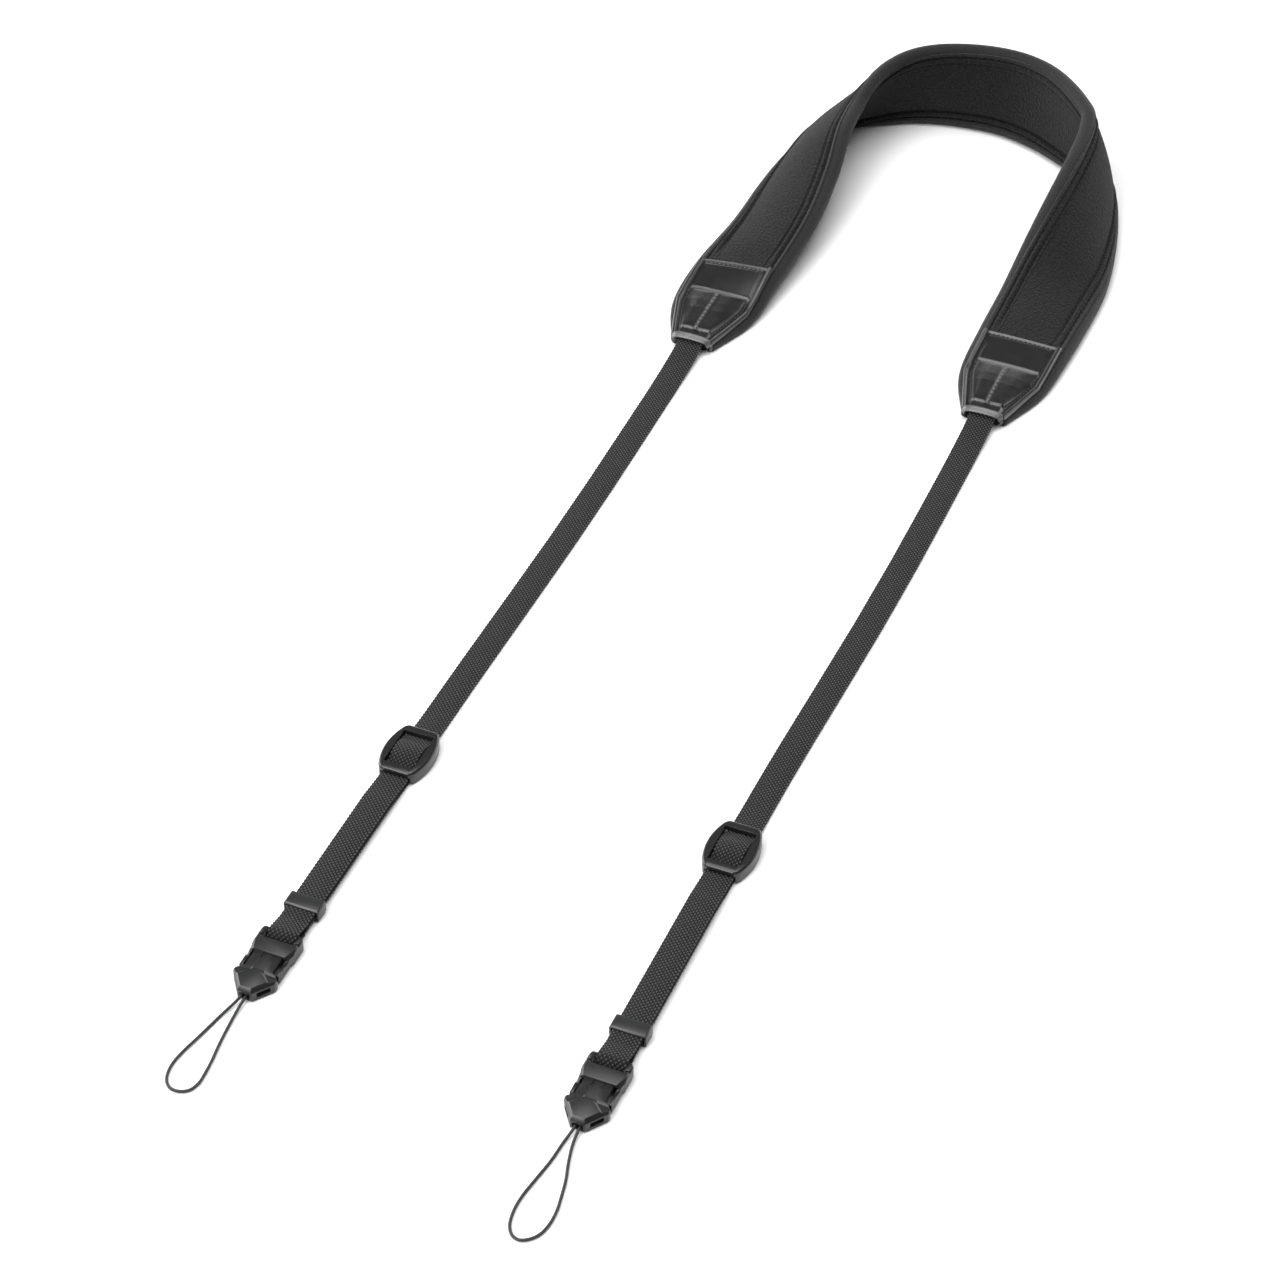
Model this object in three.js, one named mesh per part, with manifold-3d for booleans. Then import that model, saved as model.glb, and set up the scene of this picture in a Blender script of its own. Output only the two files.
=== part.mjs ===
// Camera neck strap lying on a table: a padded neck band that stands as an arch at the neck and lies
// nearly flat along both legs, sewn end tabs, narrow webbing, sliders, keepers, buckles and cord loops.
// Millimetres, +Z up, +Y from the cord loops to the neck. The table is z = 0.
import * as THREE from 'three';
import { mergeVertices } from 'three/addons/utils/BufferGeometryUtils.js';
import Module from 'manifold-3d';

const wasm = await Module();
wasm.setup();

// Driving dimensions.
const GAP = 0.3; // clearance that touching pieces keep

// Neck band from the left end over the neck to the right end. x, y: centre line in plan. tilt: degrees
// that the band's width is turned up from flat. sag: how far the edges curl below the middle of the outer
// face. half: half width. thick: thickness. fold: depth of the bindings.
const BAND = [
  { x: -58.3, y: 88.0, tilt: 0, sag: 0, half: 8.5, thick: 3.4, fold: 3.0 },
  { x: -58.5, y: 109.0, tilt: 1, sag: 0, half: 16.5, thick: 3.6, fold: 4.5 },
  { x: -57.8, y: 133.0, tilt: 8, sag: 0.5, half: 18.5, thick: 5.6, fold: 5.5 },
  { x: -55.5, y: 164.0, tilt: 17, sag: 2.0, half: 18.75, thick: 6.0, fold: 5.5 },
  { x: -56.0, y: 191.0, tilt: 27, sag: 2.5, half: 18.75, thick: 6.0, fold: 5.5 },
  { x: -56.5, y: 215.0, tilt: 42, sag: 2.0, half: 18.75, thick: 6.0, fold: 5.5 },
  { x: -55.0, y: 237.0, tilt: 49, sag: 1.0, half: 18.75, thick: 6.0, fold: 5.5 },
  { x: -42.0, y: 257.0, tilt: 74, sag: 0, half: 18.75, thick: 6.0, fold: 5.5 },
  { x: -25.0, y: 269.0, tilt: 89, sag: 0, half: 18.75, thick: 6.0, fold: 5.5 },
  { x: -1.0, y: 274.5, tilt: 98, sag: 0, half: 18.75, thick: 6.0, fold: 5.5 },
  { x: 19.0, y: 270.5, tilt: 100, sag: 0, half: 18.75, thick: 6.0, fold: 5.5 },
  { x: 40.0, y: 256.0, tilt: 88, sag: 0, half: 18.75, thick: 6.0, fold: 5.5 },
  { x: 51.0, y: 244.0, tilt: 72, sag: 1.0, half: 18.75, thick: 6.0, fold: 5.5 },
  { x: 56.5, y: 219.0, tilt: 55, sag: 2.0, half: 18.75, thick: 6.0, fold: 5.5 },
  { x: 59.0, y: 189.0, tilt: 31, sag: 2.5, half: 18.75, thick: 6.0, fold: 5.5 },
  { x: 58.5, y: 166.0, tilt: 8, sag: 2.0, half: 18.75, thick: 6.0, fold: 5.5 },
  { x: 57.8, y: 134.0, tilt: 0, sag: 0.5, half: 18.5, thick: 5.6, fold: 5.5 },
  { x: 57.5, y: 109.0, tilt: 0, sag: 0, half: 16.5, thick: 3.6, fold: 4.5 },
  { x: 57.7, y: 88.0, tilt: 0, sag: 0, half: 8.5, thick: 3.4, fold: 3.0 },
];
const BAND_STEPS = 3; // sections for each row of the table
const BINDING_WALL = 0.9;
const PAD_EDGE_ROUND = 0.7; // how far the pad's hidden edge bulges, as a share of half its thickness there
const LEG_ROWS = 4; // rows of the table that one end tab can lie on

// End tab from its straight top edge to the rim at its tip. half: half width. crown: rise of its middle
// over the webbing. wall: thickness. drop: how far its side edges turn down past the band's end.
const TAB = [
  { y: 133.0, half: 15.5, crown: 0.0, wall: 1.0, drop: 0 },
  { y: 117.0, half: 15.2, crown: 0.2, wall: 1.2, drop: 0 },
  { y: 109.0, half: 14.8, crown: 1.3, wall: 1.2, drop: 0 },
  { y: 104.0, half: 13.3, crown: 1.7, wall: 1.2, drop: 0 },
  { y: 87.6, half: 8.3, crown: 1.7, wall: 1.2, drop: 0 },
  { y: 87.4, half: 8.3, crown: 1.7, wall: 1.4, drop: 2.7 },
  { y: 85.5, half: 8.0, crown: 1.7, wall: 1.4, drop: 2.7 },
];
const TAB_ROW_LENGTH = 6; // longest stretch between two sections
const TAB_CROWN_HALF = 5.4; // half width of the raised middle
const TAB_RAMP = 1.2; // width of the slope beside it
const TAB_EDGE = 1.4; // width of the turned-down edge

// Webbing: 10 mm wide, 1.2 mm thick.
const WEB_WIDTH = 10;
const WEB_THICK = 1.2;
const WEB_CHAMFER = 0.3;
const WEB_IN_TAB_Y = 98; // hidden end under the tab
const WEB_FLOOR_Z = 0.62; // middle of one layer on the table
const LOWER_LAYER_Z = 1.7; // doubled stretch: middle of each layer
const UPPER_LAYER_Z = 3.2;

// The webbing's middle line as [y, z] places: from under the tab down to the table, then past the slider
// with y from the slider's middle, then round the buckle's bar with y from the bar.
const WEB_OFF_TAB = [[85, 4.35], [76, 2.8], [66, 1.2], [54, WEB_FLOOR_Z], [46, WEB_FLOOR_Z]];
const WEB_OVER_SLIDER = [
  [38, WEB_FLOOR_Z], [30, WEB_FLOOR_Z], [17, 0.9], [10, 1.7], [4.6, 2.8], [0, 3.6], [-4.6, 2.7], [-10, 2.1],
  [-16, 2.4], [-24, UPPER_LAYER_Z],
];
const WEB_UNDER_SLIDER = [
  [-28, LOWER_LAYER_Z], [-24, LOWER_LAYER_Z], [-16, 0.9], [-10, WEB_FLOOR_Z], [-2.2, WEB_FLOOR_Z],
];
const WEB_TO_BAR = [[6, UPPER_LAYER_Z], [3, 3.9]];
const WEB_FROM_BAR = [[3, 1.1], [6, LOWER_LAYER_Z], [10, LOWER_LAYER_Z]];
const WEB_LINE_STEPS = 2; // steps between neighbouring places
const WEB_SWAY_END = 20; // distance above the slider where the sideways sway has died out

// The two legs. x: line of the hardware. tabX: line of the band's end. bow: sideways sway between them.
// keeperY: middle of the keeper. tipY: end of the buckle.
const LEGS = [
  { side: 'left', end: 0, tabX: -58.3, x: -58.3, bow: 1.2, keeperY: -230.5, tipY: -270.8 },
  { side: 'right', end: BAND.length - 1, tabX: 57.7, x: 55.9, bow: 1.4, keeperY: -238, tipY: -278 },
];

// Slider with barrel sides, a raised bar at each end and a low middle bar.
const SLIDER = { y: -156, halfLength: 11, endHalf: 6.4, midHalf: 8.5, height: 5, bevel: 0.7 };
const SLIDER_CORNER = { length: 2.2, flare: 0.5 };
const SLIDER_SLOT_HALF = 5.4;
const SLIDER_END_BAR = { width: 3.1, underside: 3.05 };
const SLIDER_MIDDLE_BAR = { half: 1.6, low: 0.6, high: 2.5 };

const JOIN = 0.8; // how far a bar runs into the body that it joins

// Keeper ring around both layers.
const KEEPER = { length: 5.4, wall: 0.7, corner: 1.0, sideGap: 0.4 };

// Buckle, measured from its tip (0) towards the webbing bar.
const BUCKLE = { height: 5, bevel: 0.6, slotEdge: 22.4, railTop: 28.2, wingHalf: 7.2, split: 16.4 };
const BUCKLE_CORNER = { cut: 0.8, railCut: 0.45, wingSlope: 2.4 };
const BUCKLE_BAR = { at: 26.6, radius: 1.0, z: 2.6 };
const BUCKLE_RAIL_INNER = 5.4;
const BUCKLE_PRONG = { inner: 5.8, outer: 6.8, from: 9.7, low: 0.8, high: 3.8 };
const TIP = { endHalf: 2.4, shoulderHalf: 7.2, shoulder: 6.4, shoulderTop: 8.7 };
const TIP_NECK = { start: 9.9, half: 4.7 };
// at: place along the sloping side, as a share of its length.
const TIP_RECESS = { at: 0.52, length: 4.6, depth: 1.0, low: 1.2, high: 3.2 };
const CORD_HOLE = { half: 1.7, low: 0.9, high: 2.9, depth: 4 };

// Cord loops. Each route runs from inside the buckle's tip round the loop and back, as sideways and
// forward offsets from the tip's end.
const CORD_DIAMETER = 1.0;
const CORD_FLOOR_Z = 0.56;
const CORD_HOLE_Z = 1.9;
const CORD_LIFT_LENGTH = 8; // stretch in which it rises from the table to the hole
const CORD_STEPS = 34;
const CORD_SIDES = 8;
const CORD_ROUTES = {
  left: [
    [-1, 2.5], [-1.2, -1.5], [-3.6, -9], [-5.4, -18], [-7.2, -26.4], [-7.7, -31.8], [-7, -36], [-5.5, -38.7],
    [-3.2, -40.2], [-0.4, -40], [2, -38.4], [3.2, -35], [3.1, -31], [2.6, -26], [1.5, -18.8], [0.6, -11],
    [0.3, -4], [0.4, 2.5],
  ],
  right: [
    [-0.7, 2.5], [-0.8, -1.5], [-1.7, -6], [-2.4, -14], [-3.6, -21.7], [-4.7, -29.1], [-4.7, -34.8],
    [-3.6, -39.9], [-1.5, -42.8], [0.9, -43.6], [3.4, -42.4], [5.6, -39.7], [6.7, -35.5], [6.7, -29.9],
    [5.8, -24.6], [4.6, -18.9], [2.5, -12], [1, -5], [0.7, 2.5],
  ],
};

// Finishes.
const FINISH = {
  pad: { color: 0x2b2c2e, roughness: 0.95, metalness: 0 },
  binding: { color: 0x333436, roughness: 0.9, metalness: 0 },
  tab: { color: 0x111214, roughness: 0.35, metalness: 0 },
  webbing: { color: 0x2a2b2d, roughness: 0.85, metalness: 0 },
  plastic: { color: 0x2e2f31, roughness: 0.5, metalness: 0 },
  keeper: { color: 0x494b4d, roughness: 0.6, metalness: 0 },
  cord: { color: 0x1d1e20, roughness: 0.8, metalness: 0 },
};

// A mesh for one piece, with a material of its own.
function piece(name, geometry, finish) {
  const mesh = new THREE.Mesh(geometry, new THREE.MeshStandardMaterial(FINISH[finish]));
  mesh.name = name;
  return mesh;
}

// Six times the volume that a triangle mesh encloses, negative if its faces point inwards.
function signedVolume(points, triangles) {
  let sum = 0;
  for (let i = 0; i < triangles.length; i += 3) {
    const [a, b, c] = [0, 1, 2].map((k) => points[triangles[i + k]]);
    sum += a.dot(b.clone().cross(c));
  }
  return sum;
}

// Closed skin through equal sections. The profile is the sections' shape in two dimensions and shapes
// the two end caps.
function loft(sections, profile) {
  const count = profile.length;
  const points = sections.flat();
  const triangles = [];
  for (let s = 0; s + 1 < sections.length; s += 1) {
    for (let i = 0; i < count; i += 1) {
      const a = s * count + i;
      const b = s * count + ((i + 1) % count);
      triangles.push(a, b, b + count, a, b + count, a + count);
    }
  }
  const last = (sections.length - 1) * count;
  for (const [a, b, c] of THREE.ShapeUtils.triangulateShape(profile, [])) {
    const turn = THREE.ShapeUtils.isClockWise(profile) ? -1 : 1;
    const near = turn > 0 ? [c, b, a] : [a, b, c];
    triangles.push(...near, ...near.toReversed().map((k) => k + last));
  }
  if (signedVolume(points, triangles) < 0) {
    triangles.reverse();
  }
  const geometry = new THREE.BufferGeometry().setFromPoints(points);
  geometry.setIndex(triangles);
  return geometry;
}

// A closed geometry as a solid for cutting and joining.
function toSolid(geometry) {
  const bare = geometry.clone();
  bare.deleteAttribute('normal');
  bare.deleteAttribute('uv');
  const merged = mergeVertices(bare, 1e-4);
  const vertProperties = Float32Array.from(merged.attributes.position.array);
  const triVerts = Uint32Array.from(merged.index.array);
  return new wasm.Manifold(new wasm.Mesh({ numProp: 3, vertProperties, triVerts }));
}

// A solid as a geometry again.
function toGeometry(solid) {
  const mesh = solid.getMesh();
  const geometry = new THREE.BufferGeometry();
  geometry.setAttribute('position', new THREE.BufferAttribute(Float32Array.from(mesh.vertProperties), 3));
  geometry.setIndex(Array.from(mesh.triVerts));
  return geometry;
}

// A box given by its low and high corners.
function block(low, high) {
  const size = high.map((value, k) => value - low[k]);
  const centre = high.map((value, k) => (value + low[k]) / 2);
  return new THREE.BoxGeometry(...size).translate(...centre);
}

// An outline given by its right half, from one end of the middle line to the other, and its mirror image.
function mirroredShape(rightHalf) {
  const leftHalf = rightHalf.filter(([u]) => u > 0).toReversed().map(([u, v]) => [-u, v]);
  return new THREE.Shape([...rightHalf, ...leftHalf].map(([u, v]) => new THREE.Vector2(u, v)));
}

// A plate of the outline with bevelled edges, from z = low to z = high, whose widest part is the outline.
function bevelledPlate(shape, low, high, bevel, curveSegments = 6) {
  const geometry = new THREE.ExtrudeGeometry(shape, {
    depth: high - low - 2 * bevel,
    bevelThickness: bevel,
    bevelSize: bevel,
    bevelOffset: -bevel,
    bevelSegments: 1,
    curveSegments,
  });
  return geometry.translate(0, 0, low + bevel);
}

// The band's centre line, width direction and outer face direction along its table.
class Band {
  constructor(rows) {
    this.last = rows.length - 1;
    this.plan = this.curve(rows.map((row) => [row.x, row.y, row.tilt]));
    this.body = this.curve(rows.map((row) => [row.half, row.thick, row.fold]));
    this.curl = this.curve(rows.map((row) => [row.sag, 0, 0]));
  }

  curve(values) {
    return new THREE.CatmullRomCurve3(values.map((v) => new THREE.Vector3(...v)), false, 'catmullrom', 0.5);
  }

  // The frame at a row number, which may be a fraction. across points to the neck's side of the band.
  frame(row) {
    const t = row / this.last;
    const plan = this.plan.getPoint(t);
    const body = this.body.getPoint(t);
    const step = 1e-3;
    const ahead = this.plan.getPoint(Math.min(t + step, 1)).sub(this.plan.getPoint(Math.max(t - step, 0)));
    const along = new THREE.Vector3(ahead.x, ahead.y, 0).normalize();
    const tilt = THREE.MathUtils.degToRad(Math.max(plan.z, 0));
    const inward = new THREE.Vector3(along.y, -along.x, 0);
    const across = inward.multiplyScalar(Math.cos(tilt)).add(new THREE.Vector3(0, 0, Math.sin(tilt)));
    const outer = across.clone().cross(along);
    const [half, thick, fold] = body;
    const sag = this.curl.getPoint(t).x;
    const reach = half - thick / 2;
    const centre = new THREE.Vector3(plan.x, plan.y, thick / 2 + reach * Math.sin(tilt));
    const lowest = reach + (thick / 2) * Math.sin(tilt);
    centre.addScaledVector(outer, sag * (lowest / half) ** 2);
    return { centre, across, outer, half, thick, fold, sag };
  }

  // The frame where the leg that starts at the given end row passes a y.
  frameAtY(endRow, y) {
    const searchSteps = 40;
    let near = endRow;
    let far = endRow === 0 ? LEG_ROWS : endRow - LEG_ROWS;
    for (let i = 0; i < searchSteps; i += 1) {
      const middle = (near + far) / 2;
      if (this.frame(middle).centre.y < y) {
        near = middle;
      } else {
        far = middle;
      }
    }
    return this.frame(near);
  }

  // A point of the section at a frame: a across the band, b out of its outer face.
  static place(frame, [a, b]) {
    const curled = b - frame.sag * (a / frame.half) ** 2;
    return frame.centre.clone().addScaledVector(frame.across, a).addScaledVector(frame.outer, curled);
  }

  // A closed skin whose section at each frame is given by a function of that frame.
  sweep(profileAt) {
    const frames = Array.from({ length: this.last * BAND_STEPS + 1 }, (_, i) => this.frame(i / BAND_STEPS));
    const sections = frames.map((frame) => profileAt(frame).map((point) => Band.place(frame, point)));
    return loft(sections, profileAt(frames[0]).map(([a, b]) => new THREE.Vector2(a, b)));
  }
}

// The soft slab: full thickness in the middle, thinner under the bindings.
function padProfile({ half, thick, fold }) {
  const face = thick / 2;
  const field = half - fold - GAP;
  const core = face - BINDING_WALL - GAP;
  const edge = half - face;
  const neckSide = [
    [0, face], [field, face], [field, core], [edge, core], [edge + PAD_EDGE_ROUND * core, 0], [edge, -core],
    [field, -core], [field, -face],
  ];
  return [...neckSide, ...neckSide.map(([a, b]) => [-a, -b])];
}

// A binding folded over one edge: side is 1 for the neck's side and -1 for the outer side.
function bindingProfile({ half, thick, fold }, side) {
  const face = thick / 2;
  const edge = half - face;
  const arc = (radius, degrees) => degrees.map((deg) => {
    const angle = THREE.MathUtils.degToRad(deg);
    return [edge + radius * Math.cos(angle), radius * Math.sin(angle)];
  });
  const outside = [[half - fold, face], ...arc(face, [90, 54, 18, -18, -54, -90]), [half - fold, -face]];
  const inner = face - BINDING_WALL;
  const inside = [[half - fold, -inner], ...arc(inner, [-90, -30, 30, 90]), [half - fold, inner]];
  return [...outside, ...inside].map(([a, b]) => [side * a, b]);
}

// A table's rows with evenly spread rows between neighbours that lie further apart than a length.
function fineRows(rows, length) {
  const between = (a, b, t) => Object.fromEntries(
    Object.keys(a).map((key) => [key, THREE.MathUtils.lerp(a[key], b[key], t)]),
  );
  const spread = rows.slice(1).flatMap((row, i) => {
    const steps = Math.ceil((rows[i].y - row.y) / length);
    return Array.from({ length: steps }, (_, k) => between(rows[i], row, k / steps));
  });
  return [...spread, rows.at(-1)];
}

// Half of a tab's underside, from its edge to its middle.
function tabUnderside({ half, crown, drop }) {
  const foot = half - TAB_EDGE;
  const ramp = Math.min(TAB_CROWN_HALF + TAB_RAMP, foot - GAP);
  return [[half, -drop], [foot, -drop], [ramp, 0], [TAB_CROWN_HALF, crown], [0, crown]];
}

// A tab over the band's outer face, raised in the middle where the webbing runs under it.
function tabGeometry(band, endRow) {
  const profileAt = (row, thick) => {
    const base = thick / 2 + GAP;
    const right = tabUnderside(row);
    const left = right.slice(0, -1).map(([a, b]) => [-a, b]);
    const under = [...left, ...right.toReversed()];
    const over = [...under].toReversed().map(([a, b]) => [a, Math.max(b, 0) + row.wall]);
    return [...under, ...over].map(([a, b]) => [a, b + base]);
  };
  const sections = fineRows(TAB, TAB_ROW_LENGTH).map((row) => {
    const frame = band.frameAtY(endRow, Math.max(row.y, BAND[endRow].y));
    frame.centre.y = Math.min(frame.centre.y, row.y);
    return profileAt(row, frame.thick).map((point) => Band.place(frame, point));
  });
  return loft(sections, profileAt(TAB[0], BAND[endRow].thick).map(([a, b]) => new THREE.Vector2(a, b)));
}

// Points of a smooth line through [y, z] places.
function smoothLine(places) {
  const curve = new THREE.CatmullRomCurve3(places.map(([y, z]) => new THREE.Vector3(0, y, z)));
  return curve.getPoints((places.length - 1) * WEB_LINE_STEPS);
}

// The webbing's middle line: out of the tab, along the table, over the slider's middle bar, along the
// upper layer, round the buckle's bar and back along the lower layer to the slider.
function webbingLine(leg) {
  const barY = leg.tipY + BUCKLE_BAR.at;
  const turn = BUCKLE_BAR.radius + GAP + WEB_THICK / 2;
  const shifted = (places, origin) => places.map(([y, z]) => [y + origin, z]);
  const hiddenEnd = [WEB_IN_TAB_Y, WEB_OFF_TAB[0][1]];
  const toSlider = smoothLine([hiddenEnd, ...WEB_OFF_TAB, ...shifted(WEB_OVER_SLIDER, SLIDER.y)]);
  const toBar = smoothLine([...shifted(WEB_TO_BAR, barY), [barY, BUCKLE_BAR.z + turn]]);
  const roundBar = [65, 40, 15, -10, -35, -60].map((deg) => {
    const angle = THREE.MathUtils.degToRad(deg);
    return new THREE.Vector3(0, barY - turn * Math.cos(angle), BUCKLE_BAR.z + turn * Math.sin(angle));
  });
  const fromBar = [[barY, BUCKLE_BAR.z - turn], ...shifted(WEB_FROM_BAR, barY)];
  const back = smoothLine([...fromBar, ...shifted(WEB_UNDER_SLIDER, SLIDER.y)]);
  return [...toSlider, ...toBar, ...roundBar, ...back];
}

// Sideways place of the webbing at a y: from the band's end to the hardware's line, with a slight sway.
function webbingX(leg, y) {
  const t = THREE.MathUtils.clamp((BAND[0].y - y) / (BAND[0].y - SLIDER.y - WEB_SWAY_END), 0, 1);
  const drift = THREE.MathUtils.smoothstep(t, 0, 1) * (leg.x - leg.tabX);
  return leg.tabX + drift + leg.bow * Math.sin(Math.PI * t) ** 2;
}

function webbingGeometry(leg) {
  const line = webbingLine(leg);
  const [w, h, c] = [WEB_WIDTH / 2, WEB_THICK / 2, WEB_CHAMFER];
  const profile = [
    [-w + c, -h], [w - c, -h], [w, -h + c], [w, h - c], [w - c, h], [-w + c, h], [-w, h - c], [-w, -h + c],
  ];
  const sections = line.map((point, i) => {
    const before = line[Math.max(i - 1, 0)];
    const after = line[Math.min(i + 1, line.length - 1)];
    const along = after.clone().sub(before).normalize();
    const normal = new THREE.Vector3(0, -along.z, along.y);
    const x = webbingX(leg, point.y);
    return profile.map(([a, b]) => new THREE.Vector3(x + a, point.y, point.z).addScaledVector(normal, b));
  });
  return loft(sections, profile.map(([a, b]) => new THREE.Vector2(a, b)));
}

// Frame with barrel sides. The webbing passes under both end bars and over the middle bar.
function sliderGeometry() {
  const { halfLength, endHalf, midHalf, height, bevel } = SLIDER;
  const { length: corner, flare } = SLIDER_CORNER;
  const side = endHalf + flare;
  const bulge = 2 * midHalf - side;
  const shape = new THREE.Shape();
  shape.moveTo(-endHalf + corner, -halfLength);
  shape.lineTo(endHalf - corner, -halfLength);
  shape.quadraticCurveTo(endHalf, -halfLength, side, -halfLength + corner);
  shape.quadraticCurveTo(bulge, 0, side, halfLength - corner);
  shape.quadraticCurveTo(endHalf, halfLength, endHalf - corner, halfLength);
  shape.lineTo(-endHalf + corner, halfLength);
  shape.quadraticCurveTo(-endHalf, halfLength, -side, halfLength - corner);
  shape.quadraticCurveTo(-bulge, 0, -side, -halfLength + corner);
  shape.quadraticCurveTo(-endHalf, -halfLength, -endHalf + corner, -halfLength);
  const slot = SLIDER_SLOT_HALF;
  const inner = halfLength - SLIDER_END_BAR.width;
  const { half, low, high } = SLIDER_MIDDLE_BAR;
  const frame = toSolid(bevelledPlate(shape, 0, height, bevel))
    .subtract(toSolid(block([-slot, -inner, -1], [slot, inner, height + 1])))
    .subtract(toSolid(block([-slot, -halfLength - 1, -1], [slot, halfLength + 1, SLIDER_END_BAR.underside])));
  return toGeometry(frame.add(toSolid(block([-slot - JOIN, -half, low], [slot + JOIN, half, high]))));
}

// A rounded rectangle in the plane of a ring's section.
function roundedRectangle(target, halfWidth, low, high, corner) {
  target.moveTo(-halfWidth + corner, low);
  target.lineTo(halfWidth - corner, low);
  target.quadraticCurveTo(halfWidth, low, halfWidth, low + corner);
  target.lineTo(halfWidth, high - corner);
  target.quadraticCurveTo(halfWidth, high, halfWidth - corner, high);
  target.lineTo(-halfWidth + corner, high);
  target.quadraticCurveTo(-halfWidth, high, -halfWidth, high - corner);
  target.lineTo(-halfWidth, low + corner);
  target.quadraticCurveTo(-halfWidth, low, -halfWidth + corner, low);
  return target;
}

// Ring around the doubled webbing, centred on its own length.
function keeperGeometry() {
  const half = WEB_WIDTH / 2 + KEEPER.sideGap;
  const low = LOWER_LAYER_Z - WEB_THICK / 2 - GAP;
  const high = UPPER_LAYER_Z + WEB_THICK / 2 + GAP;
  const { wall, corner, length } = KEEPER;
  const shape = roundedRectangle(new THREE.Shape(), half + wall, low - wall, high + wall, corner);
  shape.holes.push(roundedRectangle(new THREE.Path(), half, low, high, corner / 3));
  const geometry = new THREE.ExtrudeGeometry(shape, { depth: length, bevelEnabled: false, curveSegments: 3 });
  return geometry.translate(0, 0, -length / 2).rotateX(Math.PI / 2);
}

// Upper half of a buckle: wings, plate, rails with the webbing bar, and a side prong down each side.
function latchGeometry() {
  const { height, bevel, slotEdge, railTop, wingHalf, split } = BUCKLE;
  const { cut, railCut, wingSlope } = BUCKLE_CORNER;
  const inner = BUCKLE_RAIL_INNER;
  const outline = mirroredShape([
    [0, slotEdge], [inner, slotEdge], [inner, railTop - 2 * railCut], [inner + railCut, railTop],
    [wingHalf - railCut, railTop], [wingHalf, railTop - 2 * railCut], [wingHalf, split + wingSlope],
    [wingHalf - cut, split], [0, split],
  ]);
  const bar = new THREE.CylinderGeometry(BUCKLE_BAR.radius, BUCKLE_BAR.radius, 2 * (inner + JOIN), 12)
    .rotateZ(Math.PI / 2)
    .translate(0, BUCKLE_BAR.at, BUCKLE_BAR.z);
  let latch = toSolid(bevelledPlate(outline, 0, height, bevel)).add(toSolid(bar));
  const { inner: near, outer: far, from, low, high } = BUCKLE_PRONG;
  for (const side of [-1, 1]) {
    const [left, right] = [side * near, side * far].toSorted((a, b) => a - b);
    latch = latch.add(toSolid(block([left, from, low], [right, split + wingSlope, high])));
  }
  return toGeometry(latch);
}

// Lower half of a buckle: five-sided tip with a straight neck, side recesses and the cord hole.
function tipGeometry() {
  const { endHalf, shoulderHalf, shoulder, shoulderTop } = TIP;
  const { start: neckStart, half: neckHalf } = TIP_NECK;
  const { height, bevel, split } = BUCKLE;
  const { cut } = BUCKLE_CORNER;
  const outline = mirroredShape([
    [0, 0], [endHalf, 0], [shoulderHalf, shoulder], [shoulderHalf, shoulderTop - cut],
    [shoulderHalf - cut, shoulderTop], [neckHalf, neckStart], [neckHalf, split - GAP], [0, split - GAP],
  ]);
  const { half, low, high, depth } = CORD_HOLE;
  let tip = toSolid(bevelledPlate(outline, 0, height, bevel))
    .subtract(toSolid(block([-half, -1, low], [half, depth, high])));
  const slope = Math.atan2(shoulder, shoulderHalf - endHalf);
  const { at, length, depth: recessDepth, low: recessLow, high: recessHigh } = TIP_RECESS;
  const recessX = THREE.MathUtils.lerp(endHalf, shoulderHalf, at);
  for (const side of [-1, 1]) {
    const recess = block([-length / 2, -recessDepth, recessLow], [length / 2, recessDepth, recessHigh])
      .rotateZ(side * slope)
      .translate(side * recessX, at * shoulder, 0);
    tip = tip.subtract(toSolid(recess));
  }
  return toGeometry(tip);
}

// A cord loop that starts and ends in the buckle's tip and lies on the table.
function cordGeometry(route) {
  const points = route.map(([u, v]) => {
    const lift = THREE.MathUtils.smoothstep(v, -CORD_LIFT_LENGTH, 0);
    return new THREE.Vector3(u, v, THREE.MathUtils.lerp(CORD_FLOOR_Z, CORD_HOLE_Z, lift));
  });
  const section = new THREE.Shape(Array.from({ length: CORD_SIDES }, (_, i) => {
    const angle = (i + 0.5) * 2 * Math.PI / CORD_SIDES;
    return new THREE.Vector2(Math.cos(angle), Math.sin(angle)).multiplyScalar(CORD_DIAMETER / 2);
  }));
  return new THREE.ExtrudeGeometry(section, {
    steps: CORD_STEPS,
    bevelEnabled: false,
    extrudePath: new THREE.CatmullRomCurve3(points),
  });
}

const strap = new THREE.Group();
const band = new Band(BAND);
strap.add(
  piece('neck_pad', band.sweep(padProfile), 'pad'),
  piece('binding_top', band.sweep((frame) => bindingProfile(frame, 1)), 'binding'),
  piece('binding_bottom', band.sweep((frame) => bindingProfile(frame, -1)), 'binding'),
);

for (const leg of LEGS) {
  strap.add(
    piece(`end_tab_${leg.side}`, tabGeometry(band, leg.end), 'tab'),
    piece(`webbing_${leg.side}`, webbingGeometry(leg), 'webbing'),
  );

  const slider = piece(`slider_${leg.side}`, sliderGeometry(), 'plastic');
  slider.position.set(leg.x, SLIDER.y, 0);
  const keeper = piece(`keeper_${leg.side}`, keeperGeometry(), 'keeper');
  keeper.position.set(leg.x, leg.keeperY, 0);

  const buckle = new THREE.Group();
  buckle.position.set(leg.x, leg.tipY, 0);
  buckle.add(
    piece(`buckle_latch_${leg.side}`, latchGeometry(), 'plastic'),
    piece(`buckle_tip_${leg.side}`, tipGeometry(), 'plastic'),
    piece(`cord_loop_${leg.side}`, cordGeometry(CORD_ROUTES[leg.side]), 'cord'),
  );
  strap.add(slider, keeper, buckle);
}

export default strap;
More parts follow.
